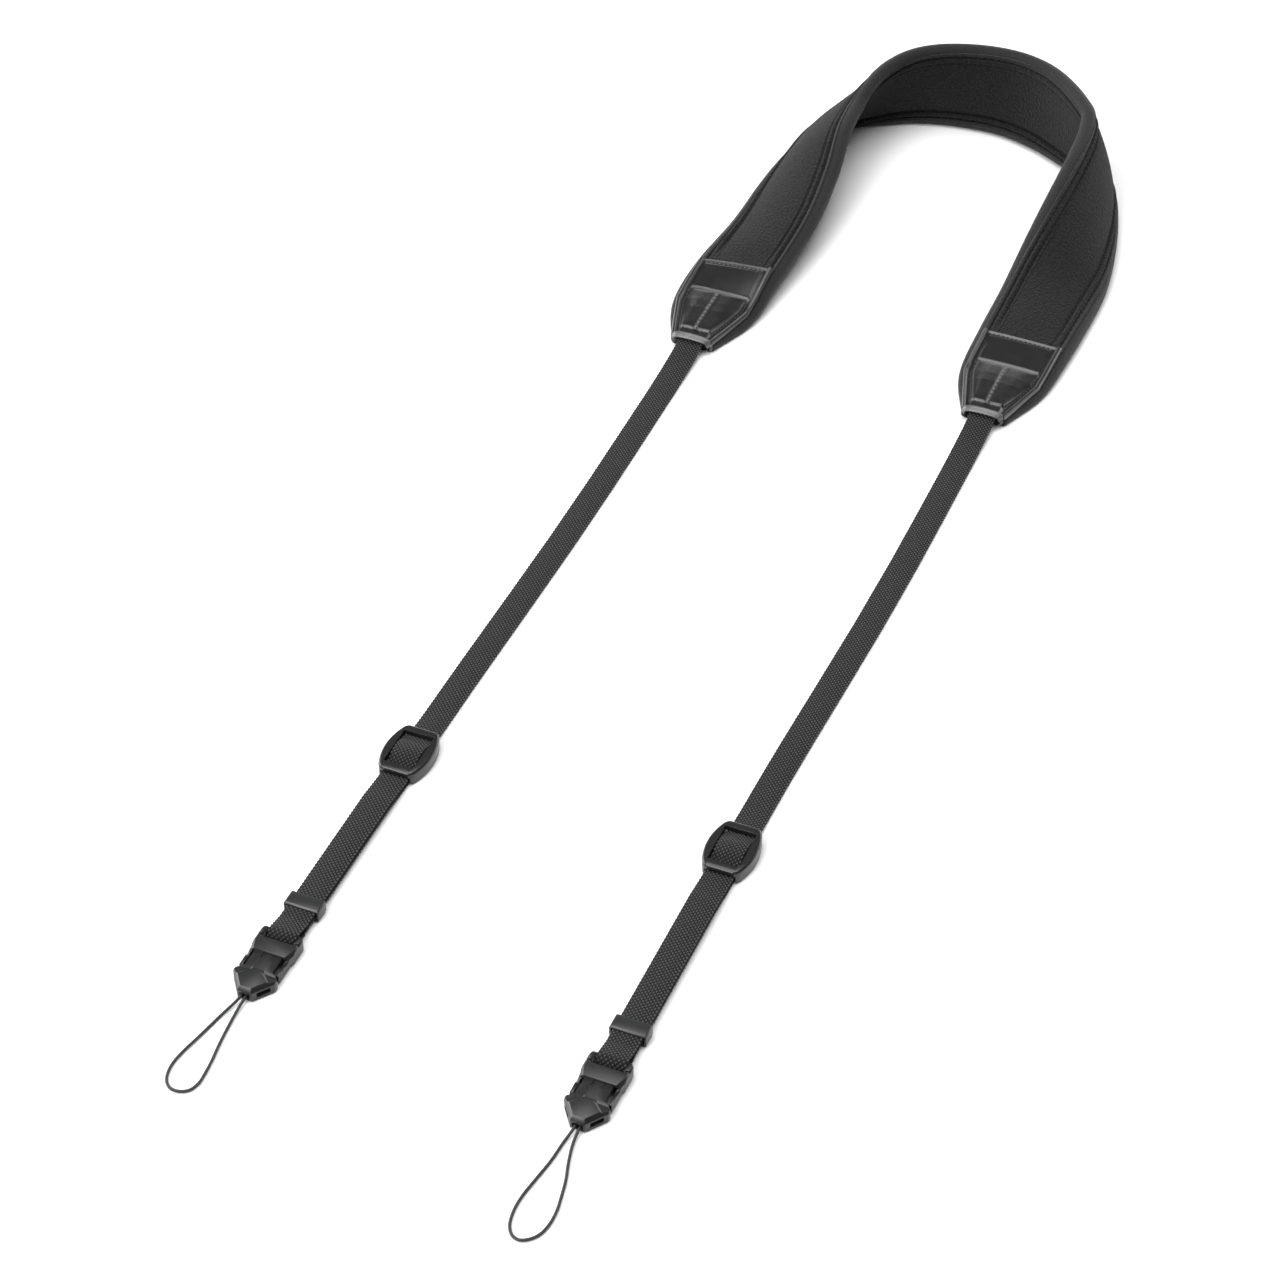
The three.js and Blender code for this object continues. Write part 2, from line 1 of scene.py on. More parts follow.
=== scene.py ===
"""Camera neck strap: cloth, leather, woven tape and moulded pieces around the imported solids.

Sizes are in millimetres in the part's own frame (+Z up, +Y from the buckles to the neck) and turn into
metres where a mesh is made.
"""

import logging
import math
from contextlib import contextmanager
from dataclasses import dataclass, field
from enum import Enum
from typing import Any, Iterator, Optional, Sequence

import bmesh
import bpy
import numpy as np
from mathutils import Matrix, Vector


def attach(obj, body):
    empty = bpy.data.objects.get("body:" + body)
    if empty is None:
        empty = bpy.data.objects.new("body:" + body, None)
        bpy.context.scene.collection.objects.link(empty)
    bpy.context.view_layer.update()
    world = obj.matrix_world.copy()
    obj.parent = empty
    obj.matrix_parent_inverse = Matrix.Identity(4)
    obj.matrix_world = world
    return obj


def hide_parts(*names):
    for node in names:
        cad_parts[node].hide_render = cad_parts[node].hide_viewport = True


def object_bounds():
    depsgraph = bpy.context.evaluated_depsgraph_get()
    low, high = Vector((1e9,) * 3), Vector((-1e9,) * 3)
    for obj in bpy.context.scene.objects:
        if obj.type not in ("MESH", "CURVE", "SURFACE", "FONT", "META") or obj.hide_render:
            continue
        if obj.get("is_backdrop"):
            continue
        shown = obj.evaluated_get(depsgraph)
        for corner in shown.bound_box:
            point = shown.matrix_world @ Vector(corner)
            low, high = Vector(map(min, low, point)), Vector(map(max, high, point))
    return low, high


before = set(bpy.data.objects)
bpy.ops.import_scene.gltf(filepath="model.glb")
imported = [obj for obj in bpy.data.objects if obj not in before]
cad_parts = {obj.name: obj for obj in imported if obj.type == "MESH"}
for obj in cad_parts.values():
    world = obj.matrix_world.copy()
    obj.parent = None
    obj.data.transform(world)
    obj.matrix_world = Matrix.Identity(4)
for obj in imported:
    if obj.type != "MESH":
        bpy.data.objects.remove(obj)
CAD_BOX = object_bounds()

LOG = logging.getLogger("neck_strap")
MM = 0.001
CLOTH = "cloth"  # point attribute: millimetres across and along a piece, and a number of its own
WAVE_FACTOR = 20.0  # the wave texture multiplies its scale by this
WELD_MM = 0.002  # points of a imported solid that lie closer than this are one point
CARVED_WELD_MM = 0.01  # the same for a carved piece
FLAT_DEG = 1.5  # faces of a carved piece that turn less than this are one face
ALL_SMOOTH_DEG = 180.0
SLIDER_Y = -156.0
Array = np.ndarray
Faces = list[tuple[int, ...]]
Rows = tuple[tuple[float, ...], ...]
Colour = tuple[float, float, float]


class Body(Enum):
    """The bodies that pieces move with."""

    STRAP = "strap"
    KEEPER_LEFT = "keeper_ring_left"
    KEEPER_RIGHT = "keeper_ring_right"


class Slot(Enum):
    """The record's material slots."""

    PAD = "pad"
    BINDING = "binding"
    TAB = "tab"
    WEBBING = "webbing"
    PLASTIC = "plastic"
    KEEPER = "keeper"
    CORD = "cord"


class Face(Enum):
    """The two faces of the neck band, with the sign of their height over its middle."""

    OUTER = 1
    INNER = -1


def smoothstep(x: Array, low: float, high: float) -> Array:
    """A soft step.

    Args:
        x: Values to step.
        low: Where the step starts.
        high: Where the step ends, which may lie below the start.

    Returns:
        Values from 0 to 1.
    """
    t = np.clip((np.asarray(x, float) - low) / (high - low), 0, 1)
    return t * t * (3 - 2 * t)


def hump(x: Array, width: float) -> Array:
    """A bell of height 1 around 0.

    Args:
        x: Distances from the middle.
        width: Distance at which the bell has fallen to 1/e.

    Returns:
        Heights from 0 to 1.
    """
    return np.exp(-((np.asarray(x, float) / width) ** 2))


def bead(x: Array, radius: float) -> Array:
    """A half round of height 1.

    Args:
        x: Distances from its edge.
        radius: Half its width.

    Returns:
        Heights from 0 to 1.
    """
    return np.sqrt(np.clip(1 - ((x - radius) / radius) ** 2, 0, 1))


def uniform_spline(values: Array, at: Array) -> Array:
    """A smooth curve through evenly numbered rows.

    Args:
        values: One row of numbers for each knot.
        at: Row numbers, which may be fractions.

    Returns:
        The curve's values, one row for each place asked for.
    """
    padded = np.vstack([2 * values[0] - values[1], values, 2 * values[-1] - values[-2]])
    cell = np.clip(np.floor(at).astype(int), 0, len(values) - 2)
    t = (at - cell)[:, None]
    p0, p1, p2, p3 = (padded[cell + k] for k in range(4))
    m1, m2 = (p2 - p0) / 2, (p3 - p1) / 2
    return p1 + m1 * t + (3 * (p2 - p1) - 2 * m1 - m2) * t**2 + (2 * (p1 - p2) + m1 + m2) * t**3


def spaced_spline(points: Array, steps: int) -> Array:
    """A smooth line through unevenly spaced points, without loops at close ones.

    Args:
        points: The places that the line passes.
        steps: Steps between neighbouring places.

    Returns:
        The line's points.
    """
    padded = np.vstack([2 * points[0] - points[1], points, 2 * points[-1] - points[-2]])
    gaps = np.linalg.norm(np.diff(padded, axis=0), axis=1) ** 0.5
    line = [points[0]]
    for i in range(len(points) - 1):
        p0, p1, p2, p3 = padded[i : i + 4]
        d0, d1, d2 = gaps[i : i + 3]
        m1 = ((p1 - p0) / d0 - (p2 - p0) / (d0 + d1) + (p2 - p1) / d1) * d1
        m2 = ((p2 - p1) / d1 - (p3 - p1) / (d1 + d2) + (p3 - p2) / d2) * d1
        for k in range(1, steps + 1):
            t = k / steps
            bend = (3 * (p2 - p1) - 2 * m1 - m2) * t**2
            line.append(p1 + m1 * t + bend + (2 * (p1 - p2) + m1 + m2) * t**3)
    return np.array(line)


def line_lengths(points: Array) -> Array:
    """The length along a line up to each of its points.

    Args:
        points: The line's points.

    Returns:
        Lengths, starting at 0.
    """
    return np.concatenate([[0], np.cumsum(np.linalg.norm(np.diff(points, axis=0), axis=1))])


def along_line(points: Array, at: Array) -> Array:
    """Places on a line.

    Args:
        points: The line's points, or numbers that belong to them, after the line's own three columns.
        at: Lengths along the line.

    Returns:
        One row for each length.
    """
    lengths = line_lengths(points[:, :3])
    return np.stack([np.interp(at, lengths, column) for column in points.T], axis=1)


def unit(vectors: Array) -> Array:
    """Vectors at length 1.

    Args:
        vectors: Rows of numbers.

    Returns:
        The rows, scaled.
    """
    return vectors / np.linalg.norm(vectors, axis=-1, keepdims=True)


def level(ring: Array, z: float) -> Array:
    """A flat outline lifted to a height.

    Args:
        ring: Rows of x and y.
        z: The height.

    Returns:
        Points.
    """
    return np.column_stack([ring, np.full(len(ring), z)])


def columns_of(values: Array, count: int) -> Array:
    """A column of values, set side by side.

    Args:
        values: The column.
        count: How many times it is repeated.

    Returns:
        A table with a row for each value.
    """
    return np.repeat(values[:, None], count, axis=1)


def skin(rings: int, count: int) -> Faces:
    """Four-sided faces between equal closed rings that follow each other.

    Args:
        rings: Number of rings.
        count: Points of a ring.

    Returns:
        The faces.
    """
    faces: Faces = []
    for s in range(rings - 1):
        for i in range(count):
            a, b = s * count + i, s * count + (i + 1) % count
            faces.append((a, b, b + count, a + count))
    return faces


@contextmanager
def opened(mesh: bpy.types.Mesh) -> Iterator[bmesh.types.BMesh]:
    """Opens a mesh for edits and writes it back.

    Args:
        mesh: The mesh.

    Yields:
        Its shell.
    """
    shell = bmesh.new()
    shell.from_mesh(mesh)
    yield shell
    shell.to_mesh(mesh)
    shell.free()


def placed(name: str, data: Any) -> bpy.types.Object:
    """Puts a new object into the scene.

    Args:
        name: Its name.
        data: Its mesh, curve, light or camera.

    Returns:
        The object.
    """
    item = bpy.data.objects.new(name, data)
    bpy.context.scene.collection.objects.link(item)
    return item


def discard(*items: bpy.types.Object) -> None:
    """Removes mesh objects that are used up.

    Args:
        *items: The objects.
    """
    for item in items:
        data = item.data
        bpy.data.objects.remove(item)
        bpy.data.meshes.remove(data)


class MeshSketch:
    """Points and faces in millimetres that become one mesh piece."""

    def __init__(self) -> None:
        """Starts empty."""
        self.points: list[Array] = []
        self.cloth: list[Array] = []
        self.faces: Faces = []
        self.count = 0

    def add(self, points: Array, faces: Faces, cloth: Optional[Array] = None) -> None:
        """Adds one shell.

        Args:
            points: The shell's points.
            faces: Its faces, counted from its own first point.
            cloth: Cloth coordinates, or None where the finish reads none.
        """
        self.points.append(points)
        self.cloth.append(np.zeros_like(points) if cloth is None else cloth)
        self.faces += [tuple(k + self.count for k in f) for f in faces]
        self.count += len(points)

    def loft(self, sections: Array, cloth: Optional[Array] = None) -> None:
        """Adds a closed skin through equal closed sections, with flat ends.

        Args:
            sections: Points by section and place in the section.
            cloth: Cloth coordinates of the same shape.
        """
        rows, count = sections.shape[:2]
        faces = skin(rows, count)
        faces.append(tuple(range(count)))
        faces.append(tuple(range((rows - 1) * count, rows * count)))
        flat = None if cloth is None else cloth.reshape(-1, 3)
        self.add(sections.reshape(-1, 3), faces, flat)

    def copies(self, shape: "Grain", origins: Array, axes: Array) -> None:
        """Adds a small shape many times.

        Args:
            shape: The small shape.
            origins: A place for each copy.
            axes: For each copy, the directions of the shape's length, width and height.
        """
        points = origins[:, None] + np.einsum("kj,njc->nkc", shape.points, axes)
        own = np.repeat(np.arange(len(origins), dtype=float), len(shape.points))
        cloth = np.zeros((len(own), 3))
        cloth[:, 0] = np.tile(shape.points[:, 1], len(origins))
        cloth[:, 1] = np.tile(shape.points[:, 0], len(origins))
        cloth[:, 2] = own
        size = len(shape.points)
        faces = [tuple(k + n * size for k in f) for n in range(len(origins)) for f in shape.faces]
        self.add(points.reshape(-1, 3), faces, cloth)

    def to_object(
        self, name: str, finish: "Finish", sharp_deg: float = ALL_SMOOTH_DEG
    ) -> bpy.types.Object:
        """Makes the piece.

        Args:
            name: The piece's name.
            finish: Its finish.
            sharp_deg: Edges that turn more than this stay sharp.

        Returns:
            The new mesh object.
        """
        mesh = bpy.data.meshes.new(name)
        mesh.from_pydata((np.concatenate(self.points) * MM).tolist(), [], self.faces)
        attribute = mesh.attributes.new(CLOTH, "FLOAT_VECTOR", "POINT")
        attribute.data.foreach_set("vector", np.concatenate(self.cloth).astype(np.float32).ravel())
        return finished_object(name, mesh, finish, sharp_deg)


def finished_object(
    name: str, mesh: bpy.types.Mesh, finish: "Finish", sharp_deg: float
) -> bpy.types.Object:
    """Turns a mesh into a shaded piece whose faces point outwards.

    Args:
        name: The piece's name.
        mesh: Its mesh.
        finish: Its finish.
        sharp_deg: Edges that turn more than this stay sharp.

    Returns:
        The new object.
    """
    with opened(mesh) as shell:
        bmesh.ops.recalc_face_normals(shell, faces=shell.faces)
    mesh.shade_smooth()
    if sharp_deg < ALL_SMOOTH_DEG:
        mesh.set_sharp_from_angle(angle=math.radians(sharp_deg))
    mesh.materials.clear()
    mesh.materials.append(finish.material())
    return placed(name, mesh)


def enlist(piece: bpy.types.Object, body: Body, slot: Slot, *nodes: str) -> bpy.types.Object:
    """Says what a piece moves with and stands for.

    Args:
        piece: The piece.
        body: The body that it moves with.
        slot: Its material slot; not used.
        *nodes: The solids that it stands for.

    Returns:
        The piece.
    """
    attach(piece, body.value)
    if nodes:
        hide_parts(*nodes)
    LOG.info("%s rides on %s", piece.name, body.value)
    return piece


class Grain:
    """A small rounded shape with its length along x, its width along y and its foot at z = 0.

    Each row of the dome: scale of the foot, share of the height.
    """

    dome: Rows = ((0.94, 0.35), (0.6, 0.85))

    def __init__(self, length: float, width: float, height: float, sides: int, sink: float) -> None:
        """Shapes a domed grain.

        Args:
            length: Length of the foot.
            width: Width of the foot.
            height: Height of the dome.
            sides: Corners of the foot.
            sink: How far the foot reaches below the surface.
        """
        angle = np.arange(sides) / sides * 2 * np.pi
        ring = np.stack([np.cos(angle) * length / 2, np.sin(angle) * width / 2], axis=1)
        levels = [(1.0, -sink), *((scale, share * height) for scale, share in self.dome)]
        rings = [level(ring * scale, z) for scale, z in levels]
        self.points = np.vstack([*rings, [[0, 0, height]]])
        apex = len(levels) * sides
        self.faces: Faces = [tuple(range(sides)), *skin(len(levels), sides)]
        top = apex - sides
        self.faces += [(top + i, top + (i + 1) % sides, apex) for i in range(sides)]


class ShaderSketch:
    """A material under construction."""

    def __init__(self, name: str, colour: Sequence[float], roughness: float, **sockets: Any) -> None:
        """Starts a material from its plain values.

        Args:
            name: The material's name.
            colour: Base colour, linear.
            roughness: Surface roughness.
            **sockets: Other plain values, named as the shader names them with _ for a space.
        """
        self.material = bpy.data.materials.new(name)
        self.material.use_nodes = True
        self.tree = self.material.node_tree
        self.shader = self.tree.nodes["Principled BSDF"]
        self.shader.inputs["Base Color"].default_value = (*colour, 1)
        self.shader.inputs["Roughness"].default_value = roughness
        for socket, value in sockets.items():
            self.shader.inputs[socket.replace("_", " ")].default_value = value

    def add(self, kind: str, settings: Optional[dict[str, Any]] = None, **inputs: Any) -> Any:
        """Adds a node.

        Args:
            kind: The node's type without its prefix.
            settings: Properties of the node.
            **inputs: Values or other nodes' outputs, named as the sockets are with _ for a space, or i0
                and i1 by number.

        Returns:
            The node.
        """
        node = self.tree.nodes.new("ShaderNode" + kind)
        for key, value in (settings or {}).items():
            setattr(node, key, value)
        for key, value in inputs.items():
            by_number = key[0] == "i" and key[1:].isdigit()
            socket = node.inputs[int(key[1:]) if by_number else key.replace("_", " ")]
            if isinstance(value, bpy.types.NodeSocket):
                self.tree.links.new(value, socket)
            else:
                socket.default_value = value
        return node

    def cloth(self) -> Any:
        """The piece's own millimetres across and along it.

        Returns:
            The coordinates' socket.
        """
        return self.add("Attribute", {"attribute_name": CLOTH}).outputs["Vector"]

    def place(self) -> Any:
        """The place in the part's frame, in metres.

        Returns:
            The coordinates' socket.
        """
        return self.add("TexCoord").outputs["Object"]

    def bands(self, vector: Any, period: float, direction: str, wobble: float) -> Any:
        """Parallel ribs.

        Args:
            vector: Coordinates.
            period: Distance between ribs, in the coordinates' unit.
            direction: The axis that the ribs follow each other along.
            wobble: How unsteady the ribs are.

        Returns:
            A height from 0 to 1.
        """
        settings = {"wave_type": "BANDS", "bands_direction": direction}
        scale = 2 * math.pi / (WAVE_FACTOR * period)
        wave = {"Scale": scale, "Distortion": wobble, "Detail": 1.0, "Detail_Scale": 1.6}
        return self.add("TexWave", settings, Vector=vector, **wave).outputs["Fac"]

    def noise(self, vector: Any, size: float, detail: float = 2.0) -> Any:
        """Soft clouds.

        Args:
            vector: Coordinates.
            size: Rough size of a cloud, in the coordinates' unit.
            detail: Levels of finer clouds.

        Returns:
            A height from 0 to 1.
        """
        return self.add("TexNoise", None, Vector=vector, Scale=1 / size, Detail=detail).outputs[0]

    def math(self, operation: str, a: Any, b: Any) -> Any:
        """Sum, product or other joining of two heights.

        Args:
            operation: Name of the operation.
            a: First height or number.
            b: Second height or number.

        Returns:
            The result.
        """
        return self.add("Math", {"operation": operation}, i0=a, i1=b).outputs[0]

    def weighed(self, *parts: tuple[Any, float]) -> Any:
        """A sum of heights, each with its own share.

        Args:
            *parts: Heights and shares.

        Returns:
            The sum.
        """
        total, *others = [self.math("MULTIPLY", height, share) for height, share in parts]
        for other in others:
            total = self.math("ADD", total, other)
        return total

    def tint(self, height: Any, low: Sequence[float], high: Sequence[float]) -> None:
        """Runs the base colour between two colours.

        Args:
            height: What drives it, from 0 to 1.
            low: Colour at 0.
            high: Colour at 1.
        """
        mix = self.add("MixRGB", None, Fac=height, Color1=(*low, 1), Color2=(*high, 1))
        self.tree.links.new(mix.outputs[0], self.shader.inputs["Base Color"])

    def rough(self, height: Any, low: float, high: float) -> None:
        """Runs the roughness between two values.

        Args:
            height: What drives it, from 0 to 1.
            low: Roughness at 0.
            high: Roughness at 1.
        """
        ranged = self.add("MapRange", None, Value=height, To_Min=low, To_Max=high)
        self.tree.links.new(ranged.outputs[0], self.shader.inputs["Roughness"])

    def bump(self, height: Any, depth_mm: float, strength: float) -> None:
        """Raises the surface.

        Args:
            height: Relief from 0 to 1.
            depth_mm: Depth of the relief.
            strength: Share of it that shows.
        """
        node = self.add("Bump", None, Strength=strength, Distance=depth_mm * MM, Height=height)
        self.tree.links.new(node.outputs[0], self.shader.inputs["Normal"])


@dataclass(frozen=True)
class Finish:
    """A finish: its colour, how far that varies, and its roughness."""

    name: str
    colour: Colour
    roughness: float
    variation: float = 0.2

    def shade(self, share: float) -> Colour:
        """The colour made lighter or darker.

        Args:
            share: Share of the variation, below 0 for darker.

        Returns:
            The colour.
        """
        return tuple(c * (1 + share * self.variation) for c in self.colour)

    def material(self) -> bpy.types.Material:
        """The finish's material, made once.

        Returns:
            The material.
        """
        found = bpy.data.materials.get(self.name)
        return found if found else self.mixed()

    def mixed(self) -> bpy.types.Material:
        """Makes the material.

        Returns:
            The material.
        """
        raise NotImplementedError


@dataclass(frozen=True)
class KnitFinish(Finish):
    """Fine rib knit on soft foam."""

    rib_mm: float = 0.55
    course_mm: float = 0.75
    relief_mm: float = 0.32
    sheen: float = 0.06
    fuzz_mm: float = 1.0
    fleck_range: tuple[float, float] = (0.36, 0.66)
    patch_mm: float = 9.0
    specular: float = 0.2

    def mixed(self) -> bpy.types.Material:
        """Makes the material.

        Returns:
            The material.
        """
        sheen = {"Sheen_Weight": self.sheen, "Sheen_Roughness": 0.5, "Specular_IOR_Level": self.specular}
        sketch = ShaderSketch(self.name, self.colour, self.roughness, **sheen)
        cloth = sketch.cloth()
        ribs = sketch.bands(cloth, self.rib_mm, "X", wobble=1.4)
        courses = sketch.bands(cloth, self.course_mm, "Y", wobble=2.2)
        loops = sketch.math("MULTIPLY", ribs, courses)
        fuzz = sketch.noise(cloth, self.fuzz_mm, detail=3.0)
        low, high = self.fleck_range
        flecks = sketch.add("MapRange", None, Value=fuzz, From_Min=low, From_Max=high).outputs[0]
        relief = sketch.weighed((loops, 0.6), (flecks, 1.0))
        patches = sketch.noise(cloth, self.patch_mm, detail=3.0)
        tone = sketch.weighed((loops, 0.2), (flecks, 0.55), (patches, 0.25))
        sketch.tint(tone, self.shade(-1), self.shade(1))
        sketch.rough(patches, self.roughness - 0.08, min(1.0, self.roughness + 0.06))
        sketch.bump(relief, self.relief_mm, strength=1.0)
        return sketch.material


@dataclass(frozen=True)
class LeatherFinish(Finish):
    """Glossy coated leather with a fine pebble grain and painted highlights."""

    grain_mm: float = 0.5
    relief_mm: float = 0.06
    # Painted highlight colour: the leather runs towards it where light catches its rims and seams.
    painted_highlight_colour: Colour = (0.09, 0.09, 0.0915)
    patch_mm: float = 1.6
    wave_mm: float = 3.5

    def mixed(self) -> bpy.types.Material:
        """Makes the material, lightened towards the painted highlight colour where the piece's own number
        says so.

        Returns:
            The material.
        """
        sketch = ShaderSketch(self.name, self.colour, self.roughness, Coat_Weight=0.25, Coat_Roughness=0.2)
        cloth = sketch.cloth()
        # The piece's own number is its share of painted highlight; the tint below paints it in.
        painted_highlight = sketch.add("SeparateXYZ", None, Vector=cloth).outputs["Z"]
        patches = sketch.noise(cloth, self.patch_mm, detail=3.0)
        patchy = sketch.add("MapRange", None, Value=patches, To_Min=0.55, To_Max=1.25)
        cells = sketch.add("TexVoronoi", {"feature": "F1"}, Vector=cloth, Scale=1 / self.grain_mm)
        waves = sketch.noise(cloth, self.wave_mm)
        relief = sketch.weighed((cells.outputs["Distance"], 1.0), (waves, 1.4))
        sketch.tint(sketch.math("MULTIPLY", painted_highlight, patchy.outputs[0]), self.colour, self.painted_highlight_colour)
        sketch.rough(waves, self.roughness - 0.06, self.roughness + 0.1)
        sketch.bump(relief, self.relief_mm, strength=0.55)
        return sketch.material


@dataclass(frozen=True)
class YarnFinish(Finish):
    """Twisted yarn: fine fibres along a strand, with strands of slightly different tone."""

    fibre_mm: float = 0.16
    relief_mm: float = 0.05
    sheen: float = 0.06
    twist: float = 0.45
    strand_mm: float = 1.6

    def mixed(self) -> bpy.types.Material:
        """Makes the material.

        Returns:
            The material.
        """
        sheen = {"Sheen_Weight": self.sheen, "Sheen_Roughness": 0.4}
        sketch = ShaderSketch(self.name, self.colour, self.roughness, **sheen)
        turn = (0, 0, self.twist)
        turned = sketch.add("Mapping", None, Vector=sketch.cloth(), Rotation=turn).outputs[0]
        fibres = sketch.bands(turned, self.fibre_mm, "X", wobble=0.6)
        own = sketch.noise(sketch.place(), self.strand_mm * MM)
        tone = sketch.weighed((fibres, 0.35), (own, 0.65))
        sketch.tint(tone, self.shade(-1), self.shade(1))
        sketch.rough(own, self.roughness - 0.1, self.roughness + 0.1)
        sketch.bump(fibres, self.relief_mm, strength=0.6)
        return sketch.material


@dataclass(frozen=True)
class MouldedFinish(Finish):
    """Moulded plastic with the fine spark-eroded grain of its mould."""

    grain_mm: float = 0.22
    relief_mm: float = 0.025
    cloud_mm: float = 4.0

    def mixed(self) -> bpy.types.Material:
        """Makes the material.

        Returns:
            The material.
        """
        sketch = ShaderSketch(self.name, self.colour, self.roughness)
        place = sketch.place()
        grain = sketch.noise(place, self.grain_mm * MM, detail=3.0)
        clouds = sketch.noise(place, self.cloud_mm * MM)
        sketch.tint(clouds, self.shade(-1), self.shade(1))
        sketch.rough(grain, self.roughness - 0.08, self.roughness + 0.08)
        sketch.bump(grain, self.relief_mm, strength=0.7)
        return sketch.material


@dataclass(frozen=True)
class FloorFinish(Finish):
    """Plain matt studio floor."""

    cloud_m: float = 0.6

    def mixed(self) -> bpy.types.Material:
        """Makes the material.

        Returns:
            The material.
        """
        sketch = ShaderSketch(self.name, self.colour, self.roughness)
        sketch.tint(sketch.noise(sketch.place(), self.cloud_m), self.shade(-1), self.shade(1))
        return sketch.material


PAD_KNIT = KnitFinish("pad_knit", (0.0092, 0.0093, 0.009), roughness=0.88, variation=0.9)
EDGE_TAPE = KnitFinish(
    "edge_tape",
    (0.0135, 0.0137, 0.0135),
    roughness=0.76,
    variation=0.5,
    rib_mm=0.4,
    course_mm=0.4,
    relief_mm=0.1,
    sheen=0.12,
    fuzz_mm=0.8,
)
TAB_LEATHER = LeatherFinish("tab_leather", (0.0042, 0.0042, 0.0044), roughness=0.3)
# The tape's real body under the yarns, made near-black to paint the shade between the yarn floats.
TAPE_CORE_PAINTED_SHADE = YarnFinish("tape_core_painted_shade", (0.002, 0.002, 0.0021), roughness=0.95, variation=0.3)
TAPE_YARN = YarnFinish("tape_yarn", (0.042, 0.0423, 0.0428), roughness=0.55, variation=0.4)
# Black thread coloured light grey to paint its highlights; the pad's stitches keep the dark thread.
PAINTED_HIGHLIGHT_THREAD = YarnFinish("painted_highlight_thread", (0.09, 0.09, 0.092), roughness=0.45, fibre_mm=0.12)
DARK_THREAD = YarnFinish("dark_thread", (0.01, 0.01, 0.0105), roughness=0.6, fibre_mm=0.12)
CORD_BRAID = YarnFinish("cord_braid", (0.02, 0.0205, 0.021), roughness=0.55, variation=0.3, fibre_mm=0.3)
SLIDER_PLASTIC = MouldedFinish("slider_plastic", (0.012, 0.012, 0.0124), 0.25, 0.15, 0.2, relief_mm=0.008)
BUCKLE_PLASTIC = MouldedFinish("buckle_plastic", (0.0092, 0.0094, 0.0096), 0.33, 0.15, relief_mm=0.014)
RING_PLASTIC = MouldedFinish("ring_plastic", (0.0135, 0.014, 0.0139), 0.33, 0.12, relief_mm=0.014)
STUDIO_FLOOR = FloorFinish("studio_floor", (0.9, 0.9, 0.9), roughness=0.9, variation=0.01)


@dataclass(frozen=True)
class BandFrames:
    """The neck band's section at several places along it."""

    centre: Array
    across: Array
    outer: Array
    half: Array
    thick: Array
    fold: Array
    sag: Array

    def place(self, a: Array, b: Array) -> Array:
        """Points of the sections.

        Args:
            a: Distances across the band, by section and point.
            b: Heights over the band's middle towards its outer face.

        Returns:
            Points by section and point.
        """
        curled = b - self.sag[:, None] * (a / self.half[:, None]) ** 2
        shift = self.across[:, None] * a[..., None] + self.outer[:, None] * curled[..., None]
        return self.centre[:, None] + shift


